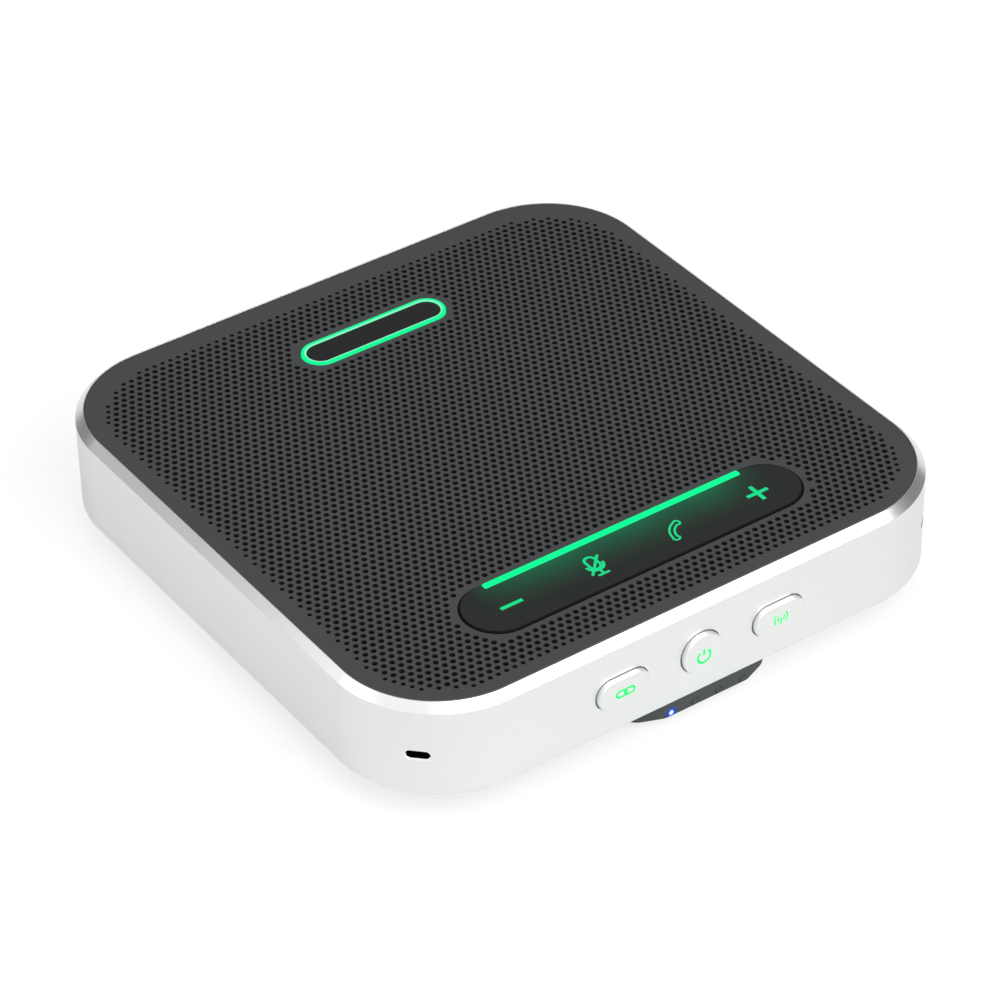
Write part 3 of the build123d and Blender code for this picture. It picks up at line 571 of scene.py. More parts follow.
# %% Where the holes are
hole_pitch = 2.0
row_pitch = 1.72
first_row_y = -66.58
middle_x = -0.32
columns_to_middle = 34
column_doublings, row_doublings = 7, 6  # 128 columns by 128 rows, more than the plate needs
field_half_x = 66.3
field_low_y = -67.4
field_high_y = 64.6
field_corner = 19.0
hole_radius = 0.66
hole_sides = 10
hole_depth = 0.9
small_hole_share = 0.72  # the outermost holes are this much of a full one
small_hole_band = 1.8
panel_low, panel_high = span("touch_lens")
badge_low, badge_high = span("badge_ring")
inlay_gap = 0.15
panel_margin = 1.9 - inlay_gap
badge_margin = 2.0 - inlay_gap


def to_round_box(x, y, low, high, corner):
    """Distance from a point to a rectangle with round corners, negative inside it."""
    across = abs(x - (low[0] + high[0]) / 2) - (high[0] - low[0]) / 2 + corner
    along = abs(y - (low[1] + high[1]) / 2) - (high[1] - low[1]) / 2 + corner
    outside = math.hypot(max(across, 0.0), max(along, 0.0))
    return outside + min(max(across, along), 0.0) - corner


def to_field_edge(x, y):
    """Distance from a hole's centre to the field's border, positive inside."""
    low, high = (middle_x - field_half_x, field_low_y), (middle_x + field_half_x, field_high_y)
    return -to_round_box(x, y, low, high, field_corner)


def to_inlay(x, y, low, high):
    """Distance from a point to a stadium-shaped inlay."""
    return to_round_box(x, y, low, high, (high[1] - low[1]) / 2)


def is_hole(x, y):
    """Whether a hexagon's centre lies in the perforated field."""
    clear_of_panel = to_inlay(x, y, panel_low, panel_high) > panel_margin + inlay_gap
    clear_of_badge = to_inlay(x, y, badge_low, badge_high) > badge_margin + inlay_gap
    return to_field_edge(x, y) > 0 and clear_of_panel and clear_of_badge


def nearest_centre(x, y):
    """Centre of the hexagon that holds a point."""
    below = math.floor((y - first_row_y) / row_pitch)
    centres = []
    for row in (below, below + 1):
        shift = middle_x + (hole_pitch / 2 if row % 2 else 0.0)
        column = round((x - shift) / hole_pitch)
        centres.append((column * hole_pitch + shift, first_row_y + row * row_pitch))
    return min(centres, key=lambda c: math.hypot(x - c[0], y - c[1]))


# %% Double one hexagon across the plate
def doubled(bm, step, times):
    """Repeats everything in the bmesh along a step, twice as many each time."""
    for k in range(times):
        geometry = bm.verts[:] + bm.edges[:] + bm.faces[:]
        copies = bmesh.ops.duplicate(bm, geom=geometry)["geom"]
        verts = [item for item in copies if isinstance(item, bmesh.types.BMVert)]
        bmesh.ops.translate(bm, verts=verts, vec=Vector(step) * 2**k)


def kept_only(bm, wanted):
    """Deletes the hexagons whose centre isn't wanted."""
    unwanted = [f for f in bm.faces if not wanted(*nearest_centre(*f.calc_center_median().xy))]
    bmesh.ops.delete(bm, geom=unwanted, context="FACES")


plate = bmesh.new()
stretch = row_pitch / (hole_pitch * math.sqrt(3) / 2)
hexagon = bmesh.ops.create_circle(plate, segments=6, radius=hole_pitch / math.sqrt(3))["verts"]
bmesh.ops.scale(plate, vec=(1, stretch, 1), verts=hexagon)
hole = bmesh.ops.create_circle(plate, segments=hole_sides, radius=hole_radius)["verts"]
bmesh.ops.bridge_loops(plate, edges=plate.edges[:])
bmesh.ops.contextual_create(plate, geom=hole)
row_start_x = middle_x - hole_pitch * columns_to_middle
bmesh.ops.translate(plate, verts=plate.verts, vec=(row_start_x, first_row_y, top_z))
second_row = (hole_pitch / 2, row_pitch, 0)
doubled(plate, (hole_pitch, 0, 0), column_doublings)
kept_only(plate, lambda x, y: abs(x) < field_half_x + hole_pitch)
doubled(plate, second_row, 1)
doubled(plate, (0, 2 * row_pitch, 0), row_doublings)
kept_only(plate, is_hole)
bmesh.ops.remove_doubles(plate, verts=plate.verts, dist=0.01)
mouths = [face for face in plate.faces if len(face.verts) == hole_sides]
for face in mouths:
    centre = face.calc_center_median()
    share = min(1.0, max(0.0, to_field_edge(centre.x, centre.y)) / small_hole_band)
    size = small_hole_share + (1 - small_hole_share) * share
    for vert in face.verts:
        vert.co.xy = centre.xy + (vert.co.xy - centre.xy) * size
print(len(mouths), "holes")

# %% [markdown]
# The border is filled in three goes: from the plate's outline to the field, and from the field to
# each inlay's opening. Then the holes are pressed down, and the outlines are taken down to the
# plate's lower face over a tiny bevel. The result is one closed skin.

# %% Fill the border, press the holes and close the plate
plate_half = span("top_plate")[1].x
plate_corner = plate_half - (body_half - body_corner)
edge_bevel = 0.12
inlay_reach = 3.0  # every border edge that belongs to an inlay is nearer to it than this


def inlay_loop(bm, low, high, grow, z):
    """Outline of an inlay's opening."""
    half_x = (high.x - low.x) / 2 + grow
    half_y = (high.y - low.y) / 2 + grow
    centre = ((low.x + high.x) / 2, (low.y + high.y) / 2)
    return round_loop(bm, half_x, half_y, half_y, z, centre)


def plate_outline(bm, inset, z):
    """Outline of the plate, inset from its edge."""
    return round_loop(bm, plate_half - inset, plate_half - inset, plate_corner - inset, z)


def near_inlay(edge, low, high):
    """Whether a border edge runs round an inlay."""
    middle = (edge.verts[0].co + edge.verts[1].co) / 2
    return to_inlay(middle.x, middle.y, low, high) < inlay_reach


def filled(bm, edges):
    """Fills the flat region between closed loops."""
    bmesh.ops.triangle_fill(bm, use_beauty=True, edges=edges, normal=(0, 0, 1))


border = [edge for edge in plate.edges if edge.is_boundary]
panel_border = [edge for edge in border if near_inlay(edge, panel_low, panel_high)]
badge_border = [edge for edge in border if near_inlay(edge, badge_low, badge_high)]
inner = set(panel_border + badge_border)
outer_border = [edge for edge in border if edge not in inner]
outlines = [
    (plate_outline(plate, edge_bevel, top_z), outer_border),
    (inlay_loop(plate, panel_low, panel_high, inlay_gap + edge_bevel, top_z), panel_border),
    (inlay_loop(plate, badge_low, badge_high, inlay_gap + edge_bevel, top_z), badge_border),
]
for outline, edges in outlines:
    filled(plate, outline + edges)
floors = bmesh.ops.extrude_discrete_faces(plate, faces=mouths)["faces"]
for face in floors:
    for edge in face.edges:
        for wall in edge.link_faces:
            wall.material_index = 1  # walls get the black as painted shade in the holes, floors are the fabric behind them
floor_verts = once_each(vert for face in floors for vert in face.verts)
bmesh.ops.translate(plate, verts=floor_verts, vec=(0, 0, -hole_depth))
under = []
for index, (outline, _) in enumerate(outlines):
    previous = outline
    for depth, grow in ((edge_bevel, 0.0), (top_z - plate_low_z, 0.0)):
        if index == 0:
            lower = plate_outline(plate, grow, top_z - depth)
        else:
            low, high = ((panel_low, panel_high), (badge_low, badge_high))[index - 1]
            lower = inlay_loop(plate, low, high, inlay_gap + grow, top_z - depth)
        bmesh.ops.bridge_loops(plate, edges=previous + lower)
        previous = lower
    under += previous
filled(plate, under)
bmesh.ops.recalc_face_normals(plate, faces=plate.faces)
open_edges = [edge for edge in plate.edges if not edge.is_manifold]
print("open edges in the plate:", len(open_edges))
finish(plate, "perforated_plate", [paint, fabric_and_hole_shade], replaced=["top_plate"])

# %% [markdown]
# ## The keys
#
# Each key is an aluminium cap with a softly rounded edge. Behind the wall it widens to a flange
# that stops it falling out, and a short stem reaches its switch. The cap, the flange and the stem
# are one piece, lofted from the same outline at different insets. Each key rides on its own body,
# so that it moves when it is pressed.

# %% Caps with their flanges and stems
stem_radius = 1.5
stem_overlap = 0.2
cap_round = 0.4
cap_middle = 3.0  # how far in from its rim the cap's flat face is outlined
flange_clearance = 0.05
flange_thickness = 1.0
for key, node in key_nodes.items():
    low, high = span(node)
    half_x, half_z = key_half_size(key)
    face_depth = -low.y
    flange_front = body_half - frame_wall - flange_clearance
    flange_back = flange_front - flange_thickness
    stem_front = flange_back + stem_overlap
    stem_back = -high.y
    spread = -(key_gap + key_flange_reach)
    line = filleted(
        [
            (spread, flange_back, 0.0),
            (spread, flange_front, 0.15),
            (0.0, flange_front, 0.0),
            (0.0, face_depth, cap_round),
            (cap_middle, face_depth, 0.0),
        ],
        steps=6,
    )
    cap = lofted(half_x, half_z, min(half_x, half_z), line, quarter=20)
    stem_line = [(0, stem_front), (stem_radius, stem_front), (stem_radius, stem_back), (0, stem_back)]
    body = facing_front(merged(cap, turned(stem_line, steps=32)))
    moved(body, key_centre_x(node), 0, key_z)
    finish(body, f"{key}_key_cap", [satin], f"{key}_key", [node])

# %% [markdown]
# ## Icons
#
# The icons are thin raised strokes. A flat curve with a round bevel gives every stroke the same
# width with soft ends, and it is made a mesh and flattened before it is put in place. The strokes
# are arcs and straight runs only. The right key gets a plain sign for radio waves.

# %% Strokes from curves
icon_height = 0.03


def arc(centre, radius, start, end, steps=20):
    """Points along a circle, in degrees."""
    points = []
    for k in range(steps + 1):
        angle = math.radians(start + (end - start) * k / steps)
        points.append((centre[0] + radius * math.cos(angle), centre[1] + radius * math.sin(angle)))
    return points


def stadium(centre, half_x, half_y):
    """Points of a stadium's outline."""
    radius = min(half_x, half_y)
    a, b = half_x - radius, half_y - radius
    start = -90 if half_x > half_y else 0
    ends = arc((a, b), radius, start, start + 180) + arc((-a, -b), radius, start + 180, start + 360)
    return [tuple(Vector(point) + Vector(centre)) for point in ends]


def strokes(paths, width):
    """A bmesh of flattened round strokes. Each path is its points and whether it is closed."""
    curve = bpy.data.curves.new("passing", "CURVE")
    curve.dimensions = "3D"
    curve.bevel_depth = width / 2
    curve.bevel_resolution = 2
    curve.use_fill_caps = True
    for points, is_closed in paths:
        spline = curve.splines.new("POLY")
        spline.points.add(len(points) - 1)
        for point, (x, y) in zip(spline.points, points):
            point.co = (x, y, 0, 1)
        spline.use_cyclic_u = is_closed
    drawn = bpy.data.objects.new("passing", curve)
    bpy.context.scene.collection.objects.link(drawn)
    bpy.context.view_layer.update()
    evaluated = drawn.evaluated_get(bpy.context.evaluated_depsgraph_get())
    mesh = bpy.data.meshes.new_from_object(evaluated)
    bm = bmesh.new()
    bm.from_mesh(mesh)
    bpy.data.objects.remove(drawn)
    bpy.data.curves.remove(curve)
    bpy.data.meshes.remove(mesh)
    bmesh.ops.scale(bm, vec=(1, 1, 2 * icon_height / width), verts=bm.verts)
    return bm


# %% [markdown]
# ## Light
#
# The green bar, the ring and the icons shine evenly, so they are emissive plastics. A light guide
# isn't perfectly even, and a slow noise takes a little off here and there.

# %% Lit finishes
def lit(name, colour, dimmer, base=(0.004, 0.03, 0.02, 1.0)):
    """A finish that shines, between its colour and a slightly dimmer one."""
    material, shader, shade = surface(name)
    glow = mixed(shade, noise(shade, 160.0), colour, dimmer)
    link(shade, shader, Emission_Color=glow, Roughness=noise(shade, 1500.0) * 0.1 + 0.35)
    link(shade, shader, Base_Color=base, Emission_Strength=1.0, Specular_IOR_Level=0.06)
    return material


green = lit("green_light", tint(0, 254, 152), tint(0, 250, 148))
green_icon = lit("green_icon", tint(20, 226, 140), tint(18, 218, 134))
mint = lit("pale_green_lip", tint(170, 246, 214), tint(150, 240, 200))
key_green = lit("key_icon_green", tint(40, 228, 104), tint(38, 222, 98), base=tint(40, 200, 90))

# %% Icons on the keys
key_strokes = {"link": 0.55, "power": 0.62, "pairing": 0.42}
icon_drop = {"link": 0.15, "power": 0.5, "pairing": 0.15}
key_icons = {
    "link": [
        (stadium((-1.0, 0), 1.25, 0.8), True),
        (stadium((1.0, 0), 1.25, 0.8), True),
    ],
    "power": [
        (arc((0, 0), 1.6, 130, 410, 36), False),
        ([(0, 0.3), (0, 1.8)], False),
    ],
    "pairing": [
        ([(0, -1.6), (0, 0.1)], False),
        (arc((0, 0.1), 0.85, -46, 46, 8), False),
        (arc((0, 0.1), 0.85, 134, 226, 8), False),
        (arc((0, 0.1), 1.7, -46, 46, 12), False),
        (arc((0, 0.1), 1.7, 134, 226, 12), False),
    ],
}
for key, paths in key_icons.items():
    node = key_nodes[key]
    icon = facing_front(strokes(paths, key_strokes[key]))
    moved(icon, key_centre_x(node), span(node)[0].y, key_z - icon_drop[key])
    finish(icon, f"{key}_icon", [key_green], f"{key}_key")

# %% [markdown]
# ## The touch panel
#
# The panel is a stadium of smoked gloss plastic with a softened rim, and the light bar lies in a
# notch along its far edge. The bar's light seeps forward into the plastic and fades over half of
# the panel's width, and towards both ends. That glow is an emission worked out from Object
# coordinates: one falloff away from the bar, times one along it.

# %% Smoked gloss with a glow
bar_low, bar_high = span("light_strip")
glow_reach = 11.5
glow_half_length = 37.0
glow_fade = 13.0


def smoked_gloss():
    """Black gloss, lit from the bar's side."""
    material, shader, shade = surface("lens_black")
    place = object_place(shade)
    x, y = [shade.node("ShaderNodeSeparateXYZ", None, {0: place}, k) * (1 / MM) for k in "XY"]
    away = shade.maths("DIVIDE", bar_low.y - y, glow_reach, clamp=True)
    along = x.maths("ABSOLUTE", x)
    ends = shade.maths("DIVIDE", glow_half_length - along, glow_fade, clamp=True)
    near = (1 - away) * (1 - away)
    spots = x.maths("SINE", x * 0.33) * 0.1 + 0.9
    strength = near * ends * spots
    drift = noise(shade, 30.0)
    colour = mixed(shade, strength, (0.0006, 0.0008, 0.0007, 1.0), (0.0002, 0.12, 0.052, 1.0))
    plain = mixed(shade, drift, tint(34, 38, 35), tint(38, 41, 38))
    # The base colour also turns darker and greener where the painted glow is.
    base = mixed(shade, strength, plain, tint(20, 30, 26))
    link(shade, shader, Base_Color=base, Emission_Color=colour, Roughness=drift * 0.06 + 0.22)
    link(shade, shader, Emission_Strength=1.0, Specular_IOR_Level=0.3)
    return material


gloss = smoked_gloss()

# %% Panel, bar and the panel's icons
panel_half = ((panel_high.x - panel_low.x) / 2, (panel_high.y - panel_low.y) / 2)
panel_y = (panel_low.y + panel_high.y) / 2
heights = (panel_low.z, panel_high.z)
middle = (0, panel_y)
panel = soft_block(
    *panel_half, panel_half[1], *heights, 0.35, 3.0, steps=5, centre=middle, quarter=24
)
bar_half_x = bar_high.x
bar_half_y = (bar_high.y - bar_low.y) / 2
bar_y = (bar_low.y + bar_high.y) / 2
notch_gap = 0.05
notch_open = 0.5  # the notch runs on past the bar, out of the panel's far edge
notch_corner = 0.45
notch = lofted(
    bar_half_x + notch_gap,
    bar_half_y + notch_open + notch_gap,
    notch_corner,
    [(0, panel_low.z - 1), (0, panel_high.z + 1)],
    centre=(0, bar_y + notch_open),
    quarter=4,
)
panel = boolean(panel, notch, "DIFFERENCE")
# The rim faces get a darker, duller copy of the lens black: painted shade, so that the rim reads as a
# dark line instead of catching the lamp.
lens_rim_shade = grained(
    "lens_rim_shade", tint(12, 13, 12), 0.7, drift=0.1, grain=1200.0, relief=0.002, specular=0.1
)
for face in panel.faces:
    face.material_index = 0 if face.normal.z > 0.99 else 1
finish(panel, "touch_panel", [gloss, lens_rim_shade], replaced=["touch_lens"])
bar_corner = 0.7
heights = (bar_low.z, bar_high.z)
middle = (0, bar_y)
bar = soft_block(bar_half_x, bar_half_y, bar_corner, *heights, 0.2, 0.6, centre=middle, quarter=6)
finish(bar, "light_bar", [green], replaced=["light_strip"])

thin_stroke, bold_stroke = 0.62, 0.95
icon_y = -50.4
level_stroke = ([(-2.7, 0), (2.7, 0)], False)
panel_icons = {
    "minus": (-31.6, [level_stroke], bold_stroke),
    "mute": (
        -10.4,
        [
            (stadium((0, 1.2), 1.2, 2.1), True),
            (arc((0, 0.6), 2.0, 180, 360, 18), False),
            ([(0, -1.4), (0, -2.9)], False),
            ([(-1.4, -2.9), (1.4, -2.9)], False),
            ([(-2.4, -2.2), (2.4, 2.9)], False),
        ],
        thin_stroke,
    ),
    "plus": (31.6, [level_stroke, ([(0, -2.6), (0, 2.6)], False)], bold_stroke),
}
for sign, (x, paths, width) in panel_icons.items():
    icon = moved(strokes(paths, width), x, icon_y, panel_high.z)
    finish(icon, f"{sign}_icon", [green_icon])

# %% [markdown]
# The call sign is the outline of a telephone handset. It is a crescent between two arcs, with a
# rounded lobe at each end, and stands a little tilted.

# %% Handset outline
def handset():
    """Closed outline of a handset that stands upright, its back to the left."""
    back = arc((4.0, 0), 5.3, 145, 215, 16)
    lower = arc((0.35, -2.8), 0.9, 220, 395, 10)
    inner = arc((3.9, 0), 3.95, 216, 144, 12)
    upper = arc((0.35, 2.8), 0.9, 325, 500, 10)
    return back + lower + inner + upper


handset_turn = -37.0
handset_size = 0.87
handset_x = 9.9
handset_stroke = 0.55
icon = turned_by(strokes([(handset(), True)], handset_stroke), handset_turn, "Z")
placed(icon, Matrix.Scale(handset_size, 4))
moved(icon, handset_x, icon_y, panel_high.z)
finish(icon, "call_icon", [green_icon])

# %% [markdown]
# ## The badge
#
# The badge is a dark plate in a shining green ring, with a paler lip on the ring's inner edge. It
# carries no lettering. The ring is a closed section taken round a stadium, like the frame, and the
# faces of its inner part get the paler light.

# %% Ring and plate
badge_paint = grained("badge_grey", tint(27, 26, 28), 0.34, drift=0.03, grain=1800.0, relief=0.002)
ring_width = 1.1
lip_width = 0.32
badge_y = (badge_low.y + badge_high.y) / 2
badge_half = (badge_high.x, (badge_high.y - badge_low.y) / 2)
ring_line = filleted(
    [
        (0.0, badge_low.z, 0.0),
        (0.0, badge_high.z, 0.18),
        (ring_width - lip_width, badge_high.z, 0.0),
        (ring_width, badge_high.z, 0.12),
        (ring_width, badge_low.z, 0.0),
    ],
    closed=True,
)
ring = lofted(*badge_half, badge_half[1], ring_line, closed=True, centre=(0, badge_y), quarter=24)
for face in ring.faces:
    middle = face.calc_center_median()
    depth = -to_inlay(middle.x, middle.y, badge_low, badge_high)
    on_lip = depth > ring_width - lip_width and middle.z > badge_high.z - 0.1
    face.material_index = 1 if on_lip else 0
finish(ring, "badge_light_ring", [green, mint], replaced=["badge_ring"])
face_low, face_high = span("badge_plate")
face_half = (face_high.x, (face_high.y - face_low.y) / 2)
heights = (face_low.z, face_high.z)
middle = (0, badge_y)
badge = soft_block(*face_half, face_half[1], *heights, 0.2, 1.5, centre=middle, quarter=24)
finish(badge, "badge_face", [badge_paint], replaced=["badge_plate"])

# %% [markdown]
# ## Underneath
#
# The bottom is a moulded cover: a square plate that closes the frame, a round pedestal that lifts
# the body, and the chin at the front. The pedestal and the pad are turned on a lathe, and the
# chin is an outline that is extruded and bevelled. Boolean unions make them one moulding.

# %% Moulded plastic and rubber
def moulded(name, colour, roughness, relief=0.02):
    """Injection-moulded plastic with a spark-eroded texture, made of small cells."""
    material, shader, shade = surface(name)
    cells = shade.node(
        "ShaderNodeTexVoronoi",
        {"feature": "SMOOTH_F1"},
        {"Vector": object_place(shade), "Scale": 2400.0, "Smoothness": 0.6},
    )
    broad = noise(shade, 60.0)
    dark = [c * 0.93 for c in colour[:3]] + [1.0]
    light = [c * 1.07 for c in colour[:3]] + [1.0]
    base = mixed(shade, broad * 0.5 + cells * 0.5, dark, light)
    rough = cells * 0.12 + (roughness - 0.06)
    link(shade, shader, Base_Color=base, Roughness=rough, Normal=bumped(shade, cells, relief * MM))
    return material


cover_plastic = moulded("cover_plastic", tint(56, 60, 60), 0.6)
black_plastic = moulded("black_plastic", (0.012, 0.012, 0.013, 1.0), 0.5, 0.01)
rubber = grained("pad_rubber", tint(34, 34, 35), 0.85, drift=0.12, grain=1400.0, relief=0.02)

# %% Cover, pedestal and chin
cover_low = span("bottom_cover")[0]
pad_low, pad_high = span("rubber_pad")
pad_radius = pad_high.x
cover_gap = 0.3
cover_half = body_half - frame_wall - cover_gap
cover_thickness = 2.4
cover_top_z = wall_low_z + cover_thickness
pad_gap = 0.3
pedestal_radius = 60.0
pedestal_low_z = cover_low.z
sheet_line = filleted(
    [(1.0, wall_low_z, 0.0), (0.0, wall_low_z, 0.4), (0.0, cover_top_z, 0.3), (1.0, cover_top_z, 0.0)]
)[1:-1]  # without its ends, because flat rings beside the flat faces upset the Boolean
cover = lofted(cover_half, cover_half, cover_half - corner_centre, sheet_line, quarter=24)
screw_inset = 4.5
screw_x = body_half - frame_wall - screw_inset
screw_y = 42.0
screw_places = [(x, y) for x in (-screw_x, screw_x) for y in (-screw_y, screw_y)]
head_height = 1.3
seat_z = span("cover_screws")[0].z + head_height
well_mouth, well_radius, screw_hole = 3.8, 2.5, 1.5
tools = []
for place in screw_places:
    line = [(0, wall_low_z - 1), (well_mouth, wall_low_z - 1), (well_radius, wall_low_z + 0.3)]
    line += [(well_radius, seat_z), (screw_hole, seat_z)]
    line += [(screw_hole, cover_top_z + 1), (0, cover_top_z + 1)]
    tools.append(turned(line, 40, place))
cover = boolean(cover, merged(*tools), "DIFFERENCE")
pedestal_line = filleted(
    [
        (0.0, pad_high.z, 0.0),
        (pad_radius + pad_gap, pad_high.z, 0.0),
        (pad_radius + pad_gap, pedestal_low_z, 0.25),
        (pedestal_radius, pedestal_low_z, 1.6),
        (pedestal_radius, wall_low_z + 1, 0.0),
        (0.0, wall_low_z + 1, 0.0),
    ],
    steps=6,
)
cover = boolean(cover, turned(pedestal_line, steps=160), "UNION")

lit_low, lit_high = span("battery_light_lit")
light_radius = (lit_high.x - lit_low.x) / 2
light_pitch = 6.2
lit_x = (lit_low.x + lit_high.x) / 2
light_z = (lit_low.z + lit_high.z) / 2
chin_x = lit_x + 1.5 * light_pitch
chin_face_y = lit_low.y + 0.05
chin_low_z = 2.1
chin_flat_half = 10.6
chin_sweep = (8.0, 3.2)
chin_depth = 20.0
chin_top_gap = 0.3


def chin_block(low_z, high_z, back_y):
    """The chin's outline extruded upwards, with round corners in plan and a soft lower edge."""
    wide = chin_flat_half + chin_sweep[0]
    right = [
        (chin_flat_half, chin_face_y, 4.5),
        (wide, chin_face_y + chin_sweep[1], 4.5),
        (wide - 2, back_y, 0.0),
    ]
    left = [(-x, y, radius) for x, y, radius in reversed(right)]
    points = filleted(right + left, closed=True, steps=8)
    bm = bmesh.new()
    outline = [bm.verts.new((x + chin_x, y, low_z)) for x, y in points]
    face = bmesh.ops.contextual_create(bm, geom=outline)["faces"][0]
    lower_edges = face.edges[:]
    made = bmesh.ops.extrude_face_region(bm, geom=[face])["geom"]
    raised = [item for item in made if isinstance(item, bmesh.types.BMVert)]
    bmesh.ops.translate(bm, verts=raised, vec=(0, 0, high_z - low_z))
    bmesh.ops.bevel(
        bm,
        geom=[edge for edge in lower_edges if edge.is_valid],
        offset=0.35,
        segments=3,
        profile=0.5,
        affect="EDGES",
        material=-1,
    )
    bmesh.ops.recalc_face_normals(bm, faces=bm.faces)
    return bm


chin_overlap = 1.2
chin = chin_block(chin_low_z, wall_low_z + chin_overlap, chin_face_y + chin_depth)
under_wall = bmesh.new()
bmesh.ops.create_cube(under_wall, size=2 * body_half)
lift = Vector((0, -body_half - cover_half, body_half + wall_low_z - chin_top_gap))
bmesh.ops.translate(under_wall, verts=under_wall.verts, vec=lift)
chin = boolean(chin, under_wall, "DIFFERENCE")
cover = boolean(cover, chin, "UNION")

# %% Holes for the battery lights
tools = []
light_places = [lit_x + k * light_pitch for k in range(4)]
light_rim = light_radius + 0.05
lit_flare, dark_flare = 0.35, 0.1
unlit_blue = (0.01, 0.02, 0.06, 1.0)
# Painted light: the bevel of the first light's hole glows with the blue that spills from the pipe,
# though it is plastic and no lamp.
painted_blue_spill = lit("painted_blue_spill", tint(30, 84, 214), tint(18, 52, 150), unlit_blue)
for x in light_places:
    flare = lit_flare if x == lit_x else dark_flare
    line = [(0, -2), (light_rim, -2), (light_rim, -flare), (light_rim + flare + 1, 1), (0, 1)]
    tool = turned(line, 32)
    # the lit light's bevel takes the painted blue spill
    if x == lit_x:
        for face in tool.faces:
            face.material_index = 1 if 0.2 < abs(face.normal.z) < 0.9 else 0
    tools.append(moved(facing_front(tool), x, chin_face_y, light_z))
cover = boolean(cover, merged(*tools), "DIFFERENCE")
finish(cover, "moulded_cover", [cover_plastic, painted_blue_spill], replaced=["bottom_cover"])

# %% [markdown]
# ## The rubber pad
#
# The pad is a disc of soft rubber. A real one has shallow rings so that it grips the table, and
# those rings are in the turned line itself.

# %% Pad with grip rings
ring_pitch = 4.0
ring_count = 12
ring_depth = 0.25
groove_half = 0.5
groove = [(1.0, 0.0), (0.5, ring_depth), (-0.5, ring_depth), (-1.0, 0.0)]
line = [(0.0, pad_high.z, 0.0), (pad_radius, pad_high.z, 0.2), (pad_radius, pad_low.z, 0.4)]
for k in range(ring_count):
    middle = pad_radius - ring_pitch * (k + 1)
    line += [(middle + groove_half * share, pad_low.z + depth, 0.1) for share, depth in groove]
line.append((0.0, pad_low.z, 0.0))
pad = turned(filleted(line, steps=2), steps=128)
finish(pad, "grip_pad", [rubber], replaced=["rubber_pad"])

# %% [markdown]
# ## Screws and battery lights
#
# Four screws hold the cover. Each is turned from a line with a rounded head, and a cross-shaped
# recess is cut in it. The battery lights are clear pipes in the chin's face: the first one shines
# white in its middle with a blue edge, and the others are off. The first light's hole has a wider
# bevel, which is painted with the blue light that spills from the pipe, as an emission in the
# plastic.

# %% Screws with a cross recess
zinc = grained("zinc_steel", tint(176, 177, 180), 0.34, 1.0, drift=0.05, grain=1500.0, relief=0.004)
head_radius = 2.3
shank_radius = 1.2
screw_length = 7.0
recess_arm = (1.35, 0.32)
recess_depth = 0.85
screws = []
for x, y in screw_places:
    head_low = seat_z - head_height
    line = filleted(
        [
            (0.0, head_low, 0.0),
            (head_radius, head_low, 0.45),
            (head_radius, seat_z, 0.1),
            (shank_radius, seat_z, 0.0),
            (shank_radius, seat_z + screw_length, 0.3),
            (0.0, seat_z + screw_length, 0.0),
        ],
        steps=4,
    )
    screw = turned(line, steps=40)
    for turn in (0, 90):
        arm_line = [(0.12, head_low + recess_depth), (0, head_low - 0.5)]
        arm = lofted(*recess_arm, 0.1, arm_line, quarter=3)
        turned_by(arm, turn + 20 * x / screw_x, "Z")  # no two screws stop at the same angle
        screw = boolean(screw, arm, "DIFFERENCE")
    screws.append(moved(screw, x, y, 0))
finish(merged(*screws), "cover_screw_set", [zinc], replaced=["cover_screws"])


# %% Battery lights
def lit_pipe():
    """White in the middle, blue at its edge."""
    material, shader, shade = surface("blue_light")
    centre = (lit_x * MM, 0.0, light_z * MM)
    shifted = shade.node(
        "ShaderNodeVectorMath",
        {"operation": "SUBTRACT"},
        {0: object_place(shade), 1: centre},
    )
    flat = shade.node(
        "ShaderNodeVectorMath", {"operation": "MULTIPLY"}, {0: shifted, 1: (1.0, 0.0, 1.0)}
    )
    radius = shade.node("ShaderNodeVectorMath", {"operation": "LENGTH"}, {0: flat}, "Value")
    share = radius / (light_radius * MM)
    white, blue = tint(238, 246, 255), tint(38, 92, 226)
    stops = [(0.0, white), (0.5, white), (0.75, blue), (1.0, tint(20, 62, 190))]
    glow = shade.node("ShaderNodeValToRGB", {"stops": stops}, {0: share})
    link(shade, shader, Emission_Color=glow, Emission_Strength=1.0)
    link(shade, shader, Base_Color=unlit_blue, Roughness=0.3)
    return material


smoked = grained("light_pipe", tint(46, 50, 52), 0.2, drift=0.1, grain=600.0, relief=0.002)
pipe_back, pipe_face = -lit_high.y, -lit_low.y
line = filleted(
    [
        (0.0, pipe_back, 0.0),
        (light_radius, pipe_back, 0.0),
        (light_radius, pipe_face, 0.25),
        (0.0, pipe_face, 0.0),
    ],
    steps=4,
)
lights = [
    (lit_pipe(), "blue_light", ["battery_light_lit"]),
    (smoked, "light_pipe", ["battery_lights_dark"]),
    (smoked, "light_pipe", []),
    (smoked, "light_pipe", []),
]
for index, (material, slot, replaced) in enumerate(lights):
    pipe = moved(facing_front(turned(line, steps=32)), light_places[index], 0, light_z)
    finish(pipe, f"battery_light_{index + 1}", [material], replaced=replaced)

# %% [markdown]
# ## The charging port
#
# The port shows through the opening in the back wall. It is a drawn steel tube with a rounded
# lip. The tongue inside carries a row of flat gold contacts on each side.

